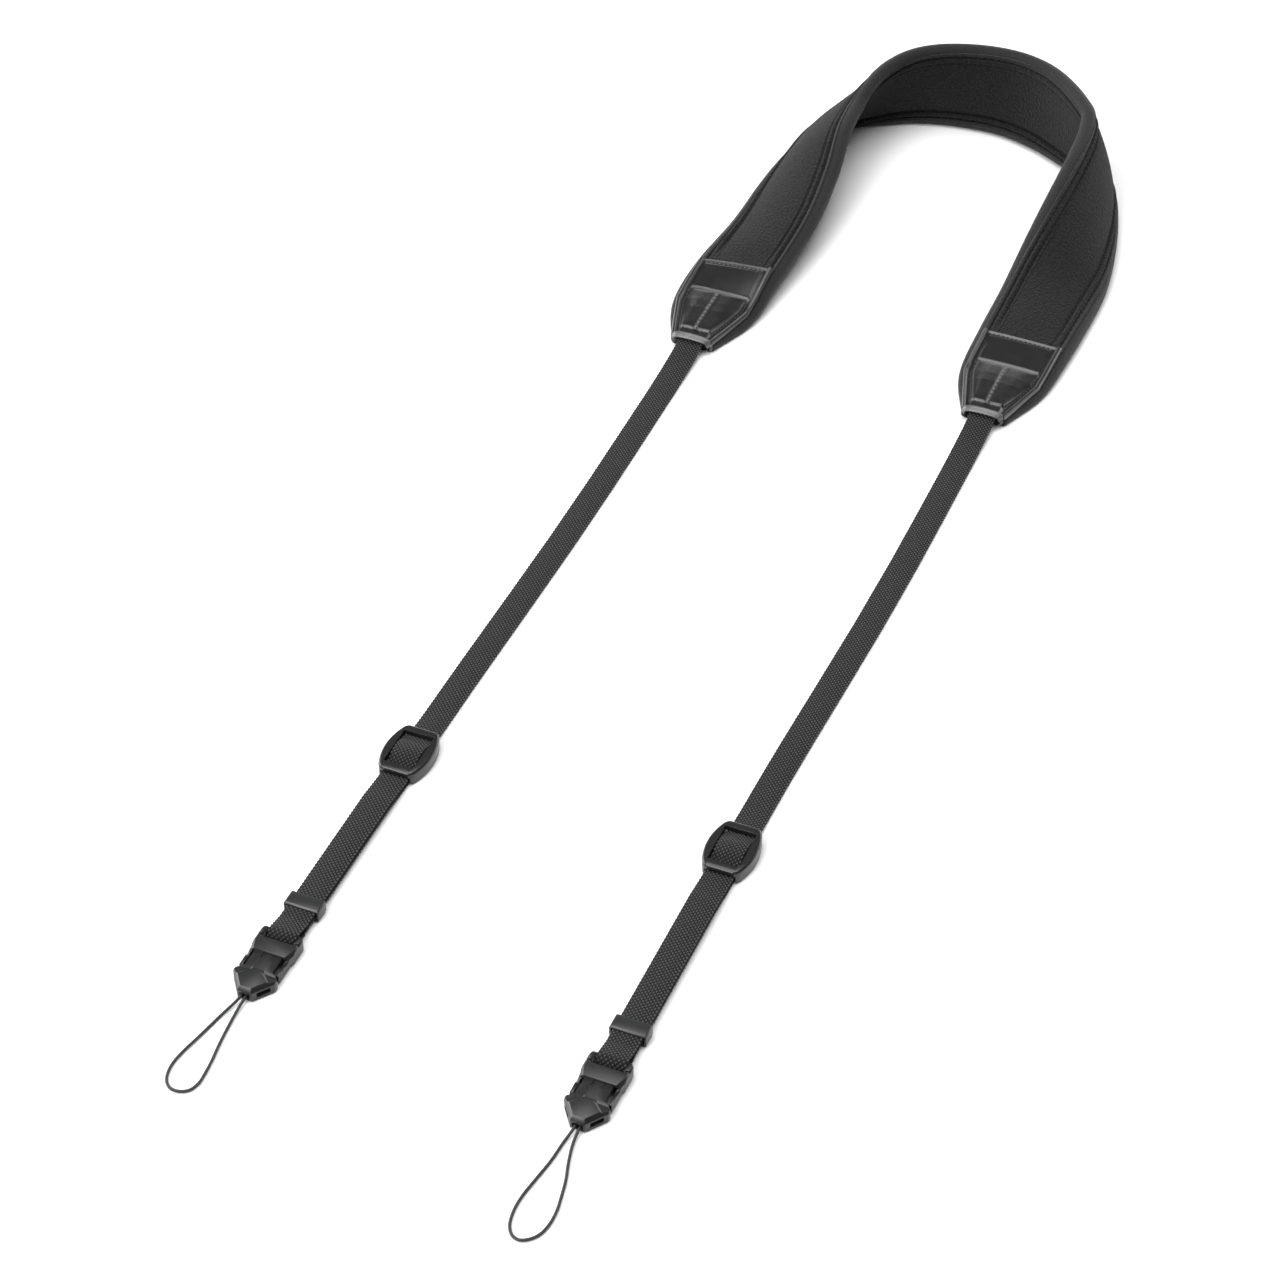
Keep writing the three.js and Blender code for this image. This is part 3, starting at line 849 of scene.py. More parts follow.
@dataclass(frozen=True)
class NeckBand:
    """The line of the neck band.

    Each row: x and y of the centre line, tilt of the width from flat in degrees, sag of the edges below
    the middle, half width, thickness, and depth of the edge tape's fold.
    """

    rows: Rows = (
        (-58.3, 88.0, 0, 0, 8.5, 3.4, 3.0),
        (-58.5, 109.0, 1, 0, 16.5, 3.6, 4.5),
        (-57.8, 133.0, 8, 0.5, 18.5, 5.6, 5.5),
        (-55.5, 164.0, 17, 2.0, 18.75, 6.0, 5.5),
        (-56.0, 191.0, 27, 2.5, 18.75, 6.0, 5.5),
        (-56.5, 215.0, 42, 2.0, 18.75, 6.0, 5.5),
        (-55.0, 237.0, 49, 1.0, 18.75, 6.0, 5.5),
        (-42.0, 257.0, 74, 0, 18.75, 6.0, 5.5),
        (-25.0, 269.0, 89, 0, 18.75, 6.0, 5.5),
        (-1.0, 274.5, 98, 0, 18.75, 6.0, 5.5),
        (19.0, 270.5, 100, 0, 18.75, 6.0, 5.5),
        (40.0, 256.0, 88, 0, 18.75, 6.0, 5.5),
        (51.0, 244.0, 72, 1.0, 18.75, 6.0, 5.5),
        (56.5, 219.0, 55, 2.0, 18.75, 6.0, 5.5),
        (59.0, 189.0, 31, 2.5, 18.75, 6.0, 5.5),
        (58.5, 166.0, 8, 2.0, 18.75, 6.0, 5.5),
        (57.8, 134.0, 0, 0.5, 18.5, 5.6, 5.5),
        (57.5, 109.0, 0, 0, 16.5, 3.6, 4.5),
        (57.7, 88.0, 0, 0, 8.5, 3.4, 3.0),
    )
    leg_rows: int = 4
    slope_step: float = 0.018
    search_steps: int = 1601

    @property
    def last(self) -> int:
        """Number of the last row.

        Returns:
            The row number.
        """
        return len(self.rows) - 1

    def frames(self, at: Array) -> BandFrames:
        """The band's sections.

        Args:
            at: Row numbers, which may be fractions.

        Returns:
            The sections there.
        """
        table = np.array(self.rows, float)
        x, y, tilt, sag, half, thick, fold = uniform_spline(table, at).T
        ahead = uniform_spline(table[:, :2], np.minimum(at + self.slope_step, self.last))
        behind = uniform_spline(table[:, :2], np.maximum(at - self.slope_step, 0))
        along = unit(ahead - behind)
        angle = np.radians(np.maximum(tilt, 0))
        sine, cosine = np.sin(angle), np.cos(angle)
        across = np.stack([along[:, 1] * cosine, -along[:, 0] * cosine, sine], axis=1)
        outer = np.cross(across, np.column_stack([along, np.zeros(len(at))]))
        reach = half - thick / 2
        lowest = reach + thick / 2 * sine
        centre = np.stack([x, y, thick / 2 + reach * sine], axis=1)
        centre += outer * (sag * (lowest / half) ** 2)[:, None]
        return BandFrames(centre, across, outer, half, thick, fold, sag)

    def frames_at_y(self, end: int, ys: Array) -> BandFrames:
        """Sections of one leg at given places, the end's own section beyond the end.

        Args:
            end: The leg's end row.
            ys: Places along the part.

        Returns:
            The sections there.
        """
        inward = self.leg_rows if end == 0 else -self.leg_rows
        rows = np.linspace(end, end + inward, self.search_steps)
        found = self.frames(np.interp(ys, self.frames(rows).centre[:, 1], rows))
        found.centre[:, 1] = np.minimum(found.centre[:, 1], ys)
        return found


@dataclass(frozen=True)
class StitchRow:
    """A row of sewn stitches: how long each is, the step to the next, and the thread."""

    length: float = 2.1
    step: float = 2.9
    width: float = 0.5
    height: float = 0.26
    sides: int = 8
    sink: float = 0.12

    def sew(self, sketch: MeshSketch, line: Array, up: Array) -> None:
        """Lays stitches along a line.

        Args:
            sketch: Takes the stitches.
            line: The line's points.
            up: The surface's direction at each of them.
        """
        total = line_lengths(line)[-1]
        count = max(1, int(total / self.step))
        at = (np.arange(count) + 0.5) * total / count
        middle = along_line(np.hstack([line, up]), at)
        ahead = along_line(line, np.minimum(at + self.length / 2, total))
        behind = along_line(line, np.maximum(at - self.length / 2, 0))
        length = unit(ahead - behind)
        width = unit(np.cross(middle[:, 3:], length))
        axes = np.stack([length, width, np.cross(length, width)], axis=1)
        grain = Grain(self.length, self.width, self.height, self.sides, self.sink)
        sketch.copies(grain, middle[:, :3], axes)


@dataclass
class NeckPad:
    """The padded band: knit field, soft ridges, sewn grooves and the rolled tape on both edges.

    Each row of the tape's lip: across and up from the tape's edge, where the fold is full.
    """

    band: NeckBand
    sections: int = 330
    tape_wall: float = 0.9
    tape_gap: float = 0.3
    full_fold: float = 5.5
    fold_share: float = 0.76
    lip: Rows = ((0.18, -0.86), (0.0, -0.6), (0.02, -0.3), (0.3, -0.06), (0.9, 0.1), (1.8, 0.14))
    edge_round: float = 0.7
    tuck: tuple[float, float] = (-1.15, -0.15)
    crease: float = 3.0
    crease_width: float = 0.58
    creases: dict[tuple[Face, int], float] = field(
        default_factory=lambda: {
            (Face.OUTER, 1): 0.8,
            (Face.OUTER, -1): 1.1,
            (Face.INNER, 1): 0.2,
            (Face.INNER, -1): 1.4,
        }
    )
    ridge: float = 1.65
    ridge_height: float = 0.4
    ridge_width: float = 0.95
    groove: float = 0.4
    domes: dict[Face, float] = field(default_factory=lambda: {Face.OUTER: 0.8, Face.INNER: 0.35})
    field_columns: int = 31
    relief_columns: int = 24
    relief_start: float = -1.1
    face_shift: float = 50.0
    tab_top: float = 134.0
    tab_blend: float = 16.0
    thread_sink: float = 0.03
    stitch: StitchRow = StitchRow()

    def __post_init__(self) -> None:
        """Works out the sections."""
        self.at = np.linspace(0, self.band.last, self.sections)
        self.frames = self.band.frames(self.at)
        self.scale = (self.frames.fold / self.full_fold)[:, None]
        self.edge = (self.frames.half - self.fold_share * self.frames.fold)[:, None]
        self.field_edge = self.edge - self.crease * self.scale
        middle = self.frames.place(np.zeros((self.sections, 1)), np.zeros((self.sections, 1)))[:, 0]
        self.travel = line_lengths(middle)

    def height(self, a: Array, face: Face) -> Array:
        """The soft face's height over the band's middle.

        Args:
            a: Distances across, by section and point.
            face: Which face.

        Returns:
            Heights, before the face's sign.
        """
        reach = np.abs(a)
        top = (self.frames.thick / 2)[:, None]
        tab_end = self.tab_top + self.tab_blend
        open_part = smoothstep(self.frames.centre[:, 1], self.tab_top, tab_end)[:, None]
        dome = self.domes[face] * open_part * np.clip(1 - (reach / self.field_edge) ** 2, 0, 1)
        depth = np.where(a > 0, self.creases[face, 1], self.creases[face, -1])
        crease = depth * hump(reach - self.field_edge, self.crease_width) * open_part
        off_ridge = reach - self.edge + self.ridge * self.scale
        ridge = self.ridge_height * hump(off_ridge, self.ridge_width) * open_part
        under = (self.tape_wall + self.tape_gap) * smoothstep(reach - self.edge, *self.tuck)
        return top + dome - crease + ridge - under

    def across(self) -> Array:
        """Distances across of one face's points, close together at the grooves.

        Returns:
            Distances by section and point.
        """
        middle = self.field_edge * np.linspace(-1, 1, self.field_columns)[None, 1:-1]
        close = np.linspace(self.relief_start, self.crease - 0.1, self.relief_columns)
        side = self.field_edge + np.append(close, self.crease + 0.4)[None] * self.scale
        return np.hstack([-side[:, ::-1], middle, side])

    def build_pad(self) -> bpy.types.Object:
        """Builds the soft slab.

        Returns:
            The pad.
        """
        a = self.across()
        edge = (self.frames.half - self.frames.thick / 2)[:, None]
        core = (self.frames.thick / 2)[:, None] - self.tape_wall - self.tape_gap
        outer, inner = self.height(a, Face.OUTER), -self.height(a, Face.INNER)
        hidden = [(edge, core), (edge + self.edge_round * core, 0 * core), (edge, -core)]
        hidden_a, hidden_b = (np.hstack(column) for column in zip(*hidden))
        ring_a = np.hstack([a, hidden_a, a[:, ::-1], -hidden_a])
        ring_b = np.hstack([outer, hidden_b, inner[:, ::-1], -hidden_b])
        points = self.frames.place(ring_a, ring_b)
        along = columns_of(self.travel, ring_a.shape[1])
        own = np.repeat([0.0, self.face_shift], ring_a.shape[1] // 2)[None].repeat(len(a), axis=0)
        sketch = MeshSketch()
        sketch.loft(points, np.stack([ring_a, along, own], axis=2))
        return sketch.to_object("knit_pad", PAD_KNIT)

    def build_tape(self, side: int) -> bpy.types.Object:
        """Builds the rolled tape of one edge.

        Args:
            side: 1 for the edge on the neck's side, -1 for the other one.

        Returns:
            The tape.
        """
        top = (self.frames.thick / 2)[:, None]
        bend = (self.frames.half - self.frames.thick / 2)[:, None]
        turn = np.radians(np.linspace(90, -90, 19))[None]
        round_a, round_b = bend + top * np.cos(turn), top * np.sin(turn)
        lip = np.array(self.lip)
        lip_a, lip_b = self.edge + lip[:, 0] * self.scale, top + lip[:, 1] * self.scale
        inner = top - self.tape_wall
        inner_a, inner_b = bend + inner * np.cos(turn[:, ::-2]), inner * np.sin(turn[:, ::-2])
        ring_a = np.hstack([lip_a, round_a, lip_a[:, ::-1], inner_a]) * side
        ring_b = np.hstack([lip_b, round_b, -lip_b[:, ::-1], inner_b])
        points = self.frames.place(ring_a, ring_b)
        steps = np.linalg.norm(np.diff(points, axis=1), axis=2)
        around = np.hstack([np.zeros((self.sections, 1)), np.cumsum(steps, axis=1)])
        along = columns_of(self.travel, ring_a.shape[1])
        sketch = MeshSketch()
        sketch.loft(points, np.stack([around, along, np.zeros_like(along)], axis=2))
        return sketch.to_object("edge_tape_top" if side > 0 else "edge_tape_bottom", EDGE_TAPE)

    def build_stitches(self) -> bpy.types.Object:
        """Sews the tapes on along both grooves of both faces.

        Returns:
            The stitches.
        """
        sketch = MeshSketch()
        for face in Face:
            for side in (-1, 1):
                a = side * (self.edge - self.groove * self.scale)
                b = face.value * (self.height(a, face) - self.thread_sink)
                line = self.frames.place(a, b)[:, 0]
                shown = (line[:, 1] > self.tab_top + 1) | (face is Face.INNER)
                self.stitch.sew(sketch, line[shown], (face.value * self.frames.outer)[shown])
        return sketch.to_object("pad_stitches", DARK_THREAD)

    def dress(self) -> None:
        """Builds every piece and places it."""
        pad = enlist(self.build_pad(), Body.STRAP, Slot.PAD, "neck_pad")
        enlist(self.build_tape(1), Body.STRAP, Slot.BINDING, "binding_top")
        enlist(self.build_tape(-1), Body.STRAP, Slot.BINDING, "binding_bottom")
        enlist(self.build_stitches(), Body.STRAP, Slot.BINDING)


@dataclass(frozen=True)
class Leg:
    """One leg of the strap: the band's end row, the lines of its tab and tape, and its buckle's place."""

    side: str
    end: int
    tab_x: float
    x: float
    bow: float
    tip_y: float
    keeper_body: Body


@dataclass(frozen=True)
class PaintedHighlightLine:
    """A painted highlight line on the leather: how strong, where it runs and how wide it is."""

    share: float
    at: float
    width: float

    def on(self, x: Array) -> Array:
        """How strong the painted highlight is.

        Args:
            x: Distances from where the line is counted.

        Returns:
            Shares.
        """
        return self.share * hump(x - self.at, self.width)


@dataclass
class EndTab:
    """A five-sided leather tab over the band's end, with rolled rims, a bare plate, puffed panels and
    painted highlights.

    Each row: y, half width, rise of the middle over the webbing. The loop's section has y and height, and
    the arch that it follows has the distance from the middle line and height.
    """

    band: NeckBand
    leg: Leg
    rows: Rows = (
        (133.0, 15.5, 0.0),
        (117.0, 15.2, 0.2),
        (109.0, 14.8, 1.3),
        (104.0, 13.3, 1.7),
        (87.4, 8.3, 1.7),
    )
    gap: float = 0.3
    wall: float = 1.0
    columns: int = 121
    lines: int = 150
    rim: float = 0.9
    rim_height: float = 1.0
    top_rim: float = 0.5
    top_rim_height: float = 0.35
    plate_half: float = 12.0
    plate_low: float = 116.2
    plate_high: float = 130.4
    plate_height: float = 0.35
    plate_soft: float = 0.2
    lip_height: float = 0.22
    seam_inset: float = 3.1
    seam_low: float = 91.4
    seam_width: float = 0.4
    seam_depth: float = 0.3
    centre_lift: float = 2.2
    centre_width: float = 0.75
    puff: float = 0.75
    puff_powers: tuple[float, float] = (0.34, 0.22)
    crown_half: float = 5.4
    crown_slope: float = 1.0
    crown_inset: float = 1.7
    crown_ease: float = 0.3
    under_slope: float = 1.2
    under_inset: float = 1.8
    edge_power: float = 1.25
    corner_y: float = 110.5
    rim_fade: tuple[float, float] = (1.6, 2.6)
    foot_fade: tuple[float, float] = (2.6, 3.2)
    side_fade: tuple[float, float] = (89.5, 91.0)
    panel_fade: tuple[float, float] = (91.0, 92.5)
    plate_low_fade: tuple[float, float] = (116.0, 116.6)
    plate_high_fade: tuple[float, float] = (127.0, 122.0)
    # Painted highlight lines where light catches the rims, seams and plate edges; the right side takes more
    # than the left.
    right_rim: PaintedHighlightLine = PaintedHighlightLine(1.0, 0.95, 0.45)
    right_seam: PaintedHighlightLine = PaintedHighlightLine(0.6, 3.8, 0.4)
    left_edge: PaintedHighlightLine = PaintedHighlightLine(0.55, 0.2, 0.35)
    left_rim: PaintedHighlightLine = PaintedHighlightLine(0.8, 1.6, 0.42)
    plate_foot: PaintedHighlightLine = PaintedHighlightLine(0.75, 0.3, 0.36)
    plate_side: PaintedHighlightLine = PaintedHighlightLine(0.6, 0.0, 0.35)
    top_edge: PaintedHighlightLine = PaintedHighlightLine(0.8, 0.5, 0.6)
    centre_seam: PaintedHighlightLine = PaintedHighlightLine(0.4, 0.0, 0.7)
    # Painted highlight over the whole rolled loop.
    loop_painted_highlight: float = 0.95
    loop_section: Rows = (
        (87.7, -0.75), (87.8, 0.3), (87.6, 0.62), (87.2, 0.8), (86.8, 0.74), (86.3, 0.36), (85.8, -0.06),
        (85.45, -0.38), (85.35, -0.6), (85.5, -0.75),
    )
    arch: Rows = (
        (7.5, -2.2), (7.6, -1.0), (7.45, 0.4), (6.8, 1.6), (5.4, 2.2), (3.0, 2.5), (0.0, 2.6), (-3.0, 2.5),
        (-5.4, 2.2), (-6.7, 1.6), (-7.1, 0.4), (-6.9, -1.0), (-6.6, -2.2),
    )
    foot_sweep: float = 1.4
    sweep_range: tuple[float, float] = (-0.6, 1.8)
    thread_sink: float = 0.02
    thread_points: int = 60
    top_thread_half: float = 12.6
    side_thread_low: float = 91.0
    stitch: StitchRow = StitchRow(length=1.25, step=1.75, width=0.42, height=0.22)
    seam_stitch: StitchRow = StitchRow(length=1.7, step=2.3, width=1.15, height=0.4)

    def row_at(self, ys: Array) -> tuple[Array, Array]:
        """Half width and rise.

        Args:
            ys: Places along the tab.

        Returns:
            Half widths and rises.
        """
        table = np.array(self.rows)[::-1]
        return np.interp(ys, table[:, 0], table[:, 1]), np.interp(ys, table[:, 0], table[:, 2])

    def relief(self, a: Array, y: Array) -> Array:
        """The outer face's height over the band's outer face.

        Args:
            a: Distances from the tab's middle line.
            y: Places along the tab, of the same shape.

        Returns:
            Heights.
        """
        half, crown = self.row_at(y)
        reach = np.abs(a)
        inset = half - reach
        foot = np.maximum(half - self.crown_inset, self.crown_half + self.crown_slope)
        rise = np.clip((foot - reach) / (foot - self.crown_half + self.crown_ease), 0, 1)
        raised = crown * rise * rise * (3 - 2 * rise)
        rim = self.rim_height * bead(inset, self.rim)
        top_rim = self.top_rim_height * bead(self.rows[0][0] - y, self.top_rim)
        top_rim = top_rim * smoothstep(inset, *self.rim_fade)
        soft = self.plate_soft
        plate = smoothstep(reach, self.plate_half + soft, self.plate_half - soft)
        plate = plate * smoothstep(y, self.plate_low - soft, self.plate_low + soft)
        plate = plate * smoothstep(y, self.plate_high + soft, self.plate_high - soft)
        on_plate = smoothstep(reach, self.plate_half, self.plate_half - 2 * soft)
        lip = self.lip_height * hump(y - self.plate_low - 0.5, 0.4) * on_plate
        below = smoothstep(y, self.plate_low - 0.4, self.plate_low - 1.2)
        above = smoothstep(y, self.seam_low - 0.6, self.seam_low + 0.4)
        side_seam = hump(inset - self.seam_inset, self.seam_width) * below * smoothstep(y, *self.side_fade)
        centre_seam = self.centre_lift * hump(a, self.centre_width) * below * above
        foot_seam = hump(y - self.seam_low, self.seam_width) * smoothstep(inset, *self.foot_fade)
        across = np.clip(reach / np.maximum(half - self.seam_inset, 0.1), 0, 1)
        upward = np.clip((y - self.seam_low) / (self.plate_low - 0.6 - self.seam_low), 0, 1)
        wide, tall = self.puff_powers
        puff = self.puff * (4 * across * (1 - across)) ** wide * (4 * upward * (1 - upward)) ** tall
        seams = self.seam_depth * (np.maximum(side_seam, foot_seam) - centre_seam)
        return self.wall + raised + rim + top_rim + self.plate_height * plate + lip + puff - seams

    def painted_highlight(self, a: Array, y: Array) -> Array:
        """How strongly painted highlights lighten the leather along its rims, seams and plate edges.

        Args:
            a: Distances from the tab's middle line.
            y: Places along the tab, of the same shape.

        Returns:
            Shares from 0 to 1.
        """
        inset = self.row_at(y)[0] - np.abs(a)
        on_plate = smoothstep(np.abs(a), self.plate_half + 0.4, self.plate_half)
        panel = smoothstep(y, self.plate_low - 0.6, self.plate_low - 1.4) * smoothstep(y, *self.panel_fade)
        corner = 1 - 0.8 * hump(y - self.corner_y, 1.2)
        right = self.right_rim.on(inset) * corner + self.right_seam.on(inset) * panel
        left = self.left_edge.on(inset) + self.left_rim.on(inset)
        foot = self.plate_foot.on(y - self.plate_low) * on_plate
        beside = smoothstep(y, *self.plate_high_fade) * smoothstep(y, *self.plate_low_fade)
        side = self.plate_side.on(a - self.plate_half) * beside
        top = self.top_edge.on(self.rows[0][0] - y) * smoothstep(inset, *self.rim_fade)
        lines = [np.where(a > 0, right, left), foot, side, top, self.centre_seam.on(a) * panel]
        return np.clip(np.max(lines, axis=0), 0, 1)

    def to_world(self, a: Array, y: Array, b: Array) -> Array:
        """Points over the band's outer face.

        Args:
            a: Distances from the middle line, by line and column.
            y: Place of each line.
            b: Heights over the band's outer face.

        Returns:
            Points.
        """
        frames = self.band.frames_at_y(self.leg.end, y)
        return frames.place(a, b + (frames.thick / 2 + self.gap)[:, None])

    def build_sheet(self, sketch: MeshSketch) -> None:
        """Adds the leather sheet.

        Args:
            sketch: Takes the sheet.
        """
        y = np.linspace(self.rows[0][0], self.rows[-1][0], self.lines)
        half, crown = self.row_at(y)
        share = np.linspace(-1, 1, self.columns)
        spread = np.sign(share) * (1 - (1 - np.abs(share)) ** self.edge_power)
        a = half[:, None] * spread[None]
        top = self.relief(a, columns_of(y, self.columns))
        ramp = np.minimum(self.crown_half + self.under_slope, half - self.under_inset)
        crest, flat = np.full_like(half, self.crown_half), np.zeros_like(half)
        under_a = np.stack([half, ramp, crest, -crest, -ramp, -half], axis=1)
        under_b = np.stack([flat, flat, crown, crown, flat, flat], axis=1)
        ring_a, ring_b = np.hstack([a, under_a]), np.hstack([top, under_b])
        along = columns_of(y, ring_a.shape[1])
        # The third cloth number is the share of painted highlight.
        cloth = np.stack([ring_a, along, self.painted_highlight(ring_a, along)], axis=2)
        sketch.loft(self.to_world(ring_a, y, ring_b), cloth)

    def build_loop(self, sketch: MeshSketch) -> None:
        """Adds the rolled rim that arches over the webbing at the tab's tip.

        Args:
            sketch: Takes the rim.
        """
        path = spaced_spline(np.array(self.arch), 5)
        ahead = unit(np.gradient(path, axis=0))
        normal = np.column_stack([-ahead[:, 1], ahead[:, 0]])
        normal *= np.where(normal[:, 1:] < 0, -1, 1)
        depth, lift = np.array(self.loop_section).T
        a = path[:, :1] + normal[:, :1] * lift
        b = path[:, 1:] + normal[:, 1:] * lift
        end = self.band.frames_at_y(self.leg.end, np.array([self.rows[-1][0]]))
        points = np.empty((*a.shape, 3))
        for k, y in enumerate(depth):
            points[:, k] = end.place(a[None, :, k], b[None, :, k] + end.thick / 2 + self.gap)[0]
            points[:, k, 1] = y + self.foot_sweep * smoothstep(-path[:, 1], *self.sweep_range)
        along = np.repeat(depth[None], len(a), axis=0)
        # The loop takes the same painted highlight share everywhere.
        cloth = np.stack([a, along, np.full_like(a, self.loop_painted_highlight)], axis=2)
        sketch.loft(points, cloth)

    def sew(self, sketch: MeshSketch, a: Array, y: Array, stitch: Optional[StitchRow] = None) -> None:
        """Lays a row of stitches on the leather.

        Args:
            sketch: Takes the stitches.
            a: The row's distances from the middle line.
            y: The row's places along the tab.
            stitch: The stitches, or None for the tab's usual ones.
        """
        b = self.relief(a, y)
        line = self.to_world(a[:, None], y, b[:, None] - self.thread_sink)[:, 0]
        up = self.band.frames_at_y(self.leg.end, y).outer
        (stitch or self.stitch).sew(sketch, line, up)

    def build_stitches(self) -> bpy.types.Object:
        """Sews the rows that hold the tab.

        Returns:
            The stitches.
        """
        sketch = MeshSketch()
        share = np.linspace(0, 1, self.thread_points)
        level_row = np.ones(self.thread_points)
        self.sew(sketch, (2 * share - 1) * self.top_thread_half, level_row * (self.plate_high + 0.9))
        side_y = self.side_thread_low + share * (self.plate_low - 0.8 - self.side_thread_low)
        for side in (-1, 1):
            self.sew(sketch, side * (self.row_at(side_y)[0] - self.seam_inset), side_y)
        seam_y = self.seam_low + share * (self.plate_low - 1.2 - self.seam_low)
        self.sew(sketch, np.zeros(self.thread_points), seam_y, self.seam_stitch)
        foot = self.row_at(np.array([self.seam_low]))[0][0] - self.seam_inset
        self.sew(sketch, (2 * share - 1) * foot, level_row * self.seam_low)
        # The tab's stitches use the thread with painted highlights.
        return sketch.to_object(f"tab_thread_{self.leg.side}", PAINTED_HIGHLIGHT_THREAD)

    def dress(self) -> None:
        """Builds the tab and places it."""
        sketch = MeshSketch()
        self.build_sheet(sketch)
        self.build_loop(sketch)
        tab = sketch.to_object(f"leather_tab_{self.leg.side}", TAB_LEATHER, 60)
        enlist(tab, Body.STRAP, Slot.TAB, f"end_tab_{self.leg.side}")
        enlist(self.build_stitches(), Body.STRAP, Slot.TAB)


@dataclass
class Webbing:
    """The narrow woven tape: out of the tab, through the slider, round the buckle's bar and back.

    A yarn has its length, width and height.
    """

    leg: Leg
    slider_y: float = SLIDER_Y
    bar_at: float = 26.6
    bar_z: float = 2.6
    turn: float = 1.9
    width: float = 10.0
    thick: float = 0.94
    floor_z: float = 0.62
    lower_z: float = 1.7
    upper_z: float = 3.2
    sway_top: float = 88.0
    sway_end: float = 20.0
    columns: int = 13
    pitch: float = 1.5
    yarn: tuple[float, float, float] = (0.86, 0.64, 0.34)
    yarn_sides: int = 8
    yarn_sink: float = 0.1
    yarn_foot: float = 0.06
    yarn_margin: float = 0.76
    end_margin: float = 0.6
    slope_step: float = 0.4
    corner: float = 0.3
    turn_degrees: range = range(80, -81, -10)

    def lines(self) -> tuple[Array, Array]:
        """The tape's middle line, y and z alone.

        Returns:
            The line to the buckle's bar, and the line round it and back to the slider.
        """
        bar_y = self.leg.tip_y + self.bar_at
        low, lower, upper = self.floor_z, self.lower_z, self.upper_z
        off_tab = [
            [98, 4.35], [90, 4.35], [87, 3.9], [84, 2.9], [79, 2.1], [66, 1.05], [54, low], [46, low],
        ]
        over = [
            [38, low], [30, low], [17, 0.9], [10, 1.7], [5.4, 3.2], [1.6, 4.5], [-1.8, 4.6], [-4.2, 3.7],
            [-6.2, 2.4], [-10, 2.0], [-16, 2.4], [-24, upper],
        ]
        under = [[-28, lower], [-24, lower], [-16, 0.9], [-10, low], [-2.2, low]]
        to_bar = np.array([[6, upper], [3, 3.9], [0, self.bar_z + self.turn]]) + [bar_y, 0]
        from_bar = np.array([[0, self.bar_z - self.turn], [3, 1.1], [6, lower], [10, lower]]) + [bar_y, 0]
        out = spaced_spline(np.array([*off_tab, *(np.array(over) + [self.slider_y, 0])]), 6)
        angle = np.radians(self.turn_degrees)
        bend = np.column_stack([bar_y - self.turn * np.cos(angle), self.bar_z + self.turn * np.sin(angle)])
        back = spaced_spline(np.vstack([from_bar, np.array(under) + [self.slider_y, 0]]), 6)
        return np.vstack([out, spaced_spline(to_bar, 5)]), np.vstack([bend, back])

    def to_world(self, line: Array) -> Array:
        """Adds the sideways sway to a line of y and z.

        Args:
            line: Rows of y and z.

        Returns:
            Points.
        """
        span = self.sway_top - self.slider_y - self.sway_end
        t = np.clip((self.sway_top - line[:, 0]) / span, 0, 1)
        drift = smoothstep(t, 0, 1) * (self.leg.x - self.leg.tab_x)
        return np.column_stack([self.leg.tab_x + drift + self.leg.bow * np.sin(np.pi * t) ** 2, line])

    def build_core(self) -> bpy.types.Object:
        """Builds the tape's flat body, which the yarns cross, near-black to paint the shade between them.

        Returns:
            The tape.
        """
        line = self.to_world(np.vstack(self.lines()))
        ahead = unit(np.gradient(line[:, 1:], axis=0))
        normal = np.column_stack([np.zeros(len(line)), -ahead[:, 1], ahead[:, 0]])
        w, h, c = self.width / 2 - 0.12, self.thick / 2, self.corner
        half_ring = [[w, -h + c], [w, h - c], [w - c * 0.4, h - c * 0.25], [w - c, h]]
        ring = np.array([*half_ring, *([[-x, z] for x, z in half_ring[::-1]])])
        ring = np.vstack([ring, [[-w + c, -h], [w - c, -h]]])
        points = line[:, None] + normal[:, None] * ring[None, :, 1:]
        points[..., 0] += ring[None, :, 0]
        along = columns_of(line_lengths(line), len(ring))
        across = np.repeat(ring[None, :, 0], len(line), axis=0)
        sketch = MeshSketch()
        sketch.loft(points, np.stack([across, along, np.zeros_like(along)], axis=2))
        return sketch.to_object(f"woven_tape_{self.leg.side}", TAPE_CORE_PAINTED_SHADE, 50)

    def lay_yarns(self, sketch: MeshSketch, line: Array, face: int) -> None:
        """Lays the warp yarns that show on one face.

        Args:
            sketch: Takes the yarns.
            line: The stretch's middle line.
            face: 1 for the face that starts upwards, -1 for the other one.
        """
        total = line_lengths(line)[-1]
        gaps = self.columns - 1
        column = (np.arange(self.columns) - gaps / 2) * (self.width - self.yarn_margin) / gaps
        starts = np.arange(self.pitch, total - self.pitch / 2, self.pitch)
        shift = (np.arange(self.columns) % 2) * self.pitch / 2
        at = (starts[:, None] + shift[None] + (0 if face > 0 else self.pitch / 2)).ravel()
        across = np.tile(column, len(starts))
        kept = at < total - self.end_margin
        across, at = across[kept], at[kept]
        middle = along_line(line, at)
        beyond = along_line(line, np.minimum(at + self.slope_step, total))
        ahead = unit(beyond - along_line(line, np.maximum(at - self.slope_step, 0)))
        wide = np.repeat([[1.0, 0, 0]], len(at), axis=0)
        up = unit(np.cross(wide, ahead)) * -face
        origins = middle + wide * across[:, None] + up * (self.thick / 2 - self.yarn_foot)
        grain = Grain(*self.yarn, self.yarn_sides, self.yarn_sink)
        sketch.copies(grain, origins, np.stack([ahead, wide, up], axis=1))

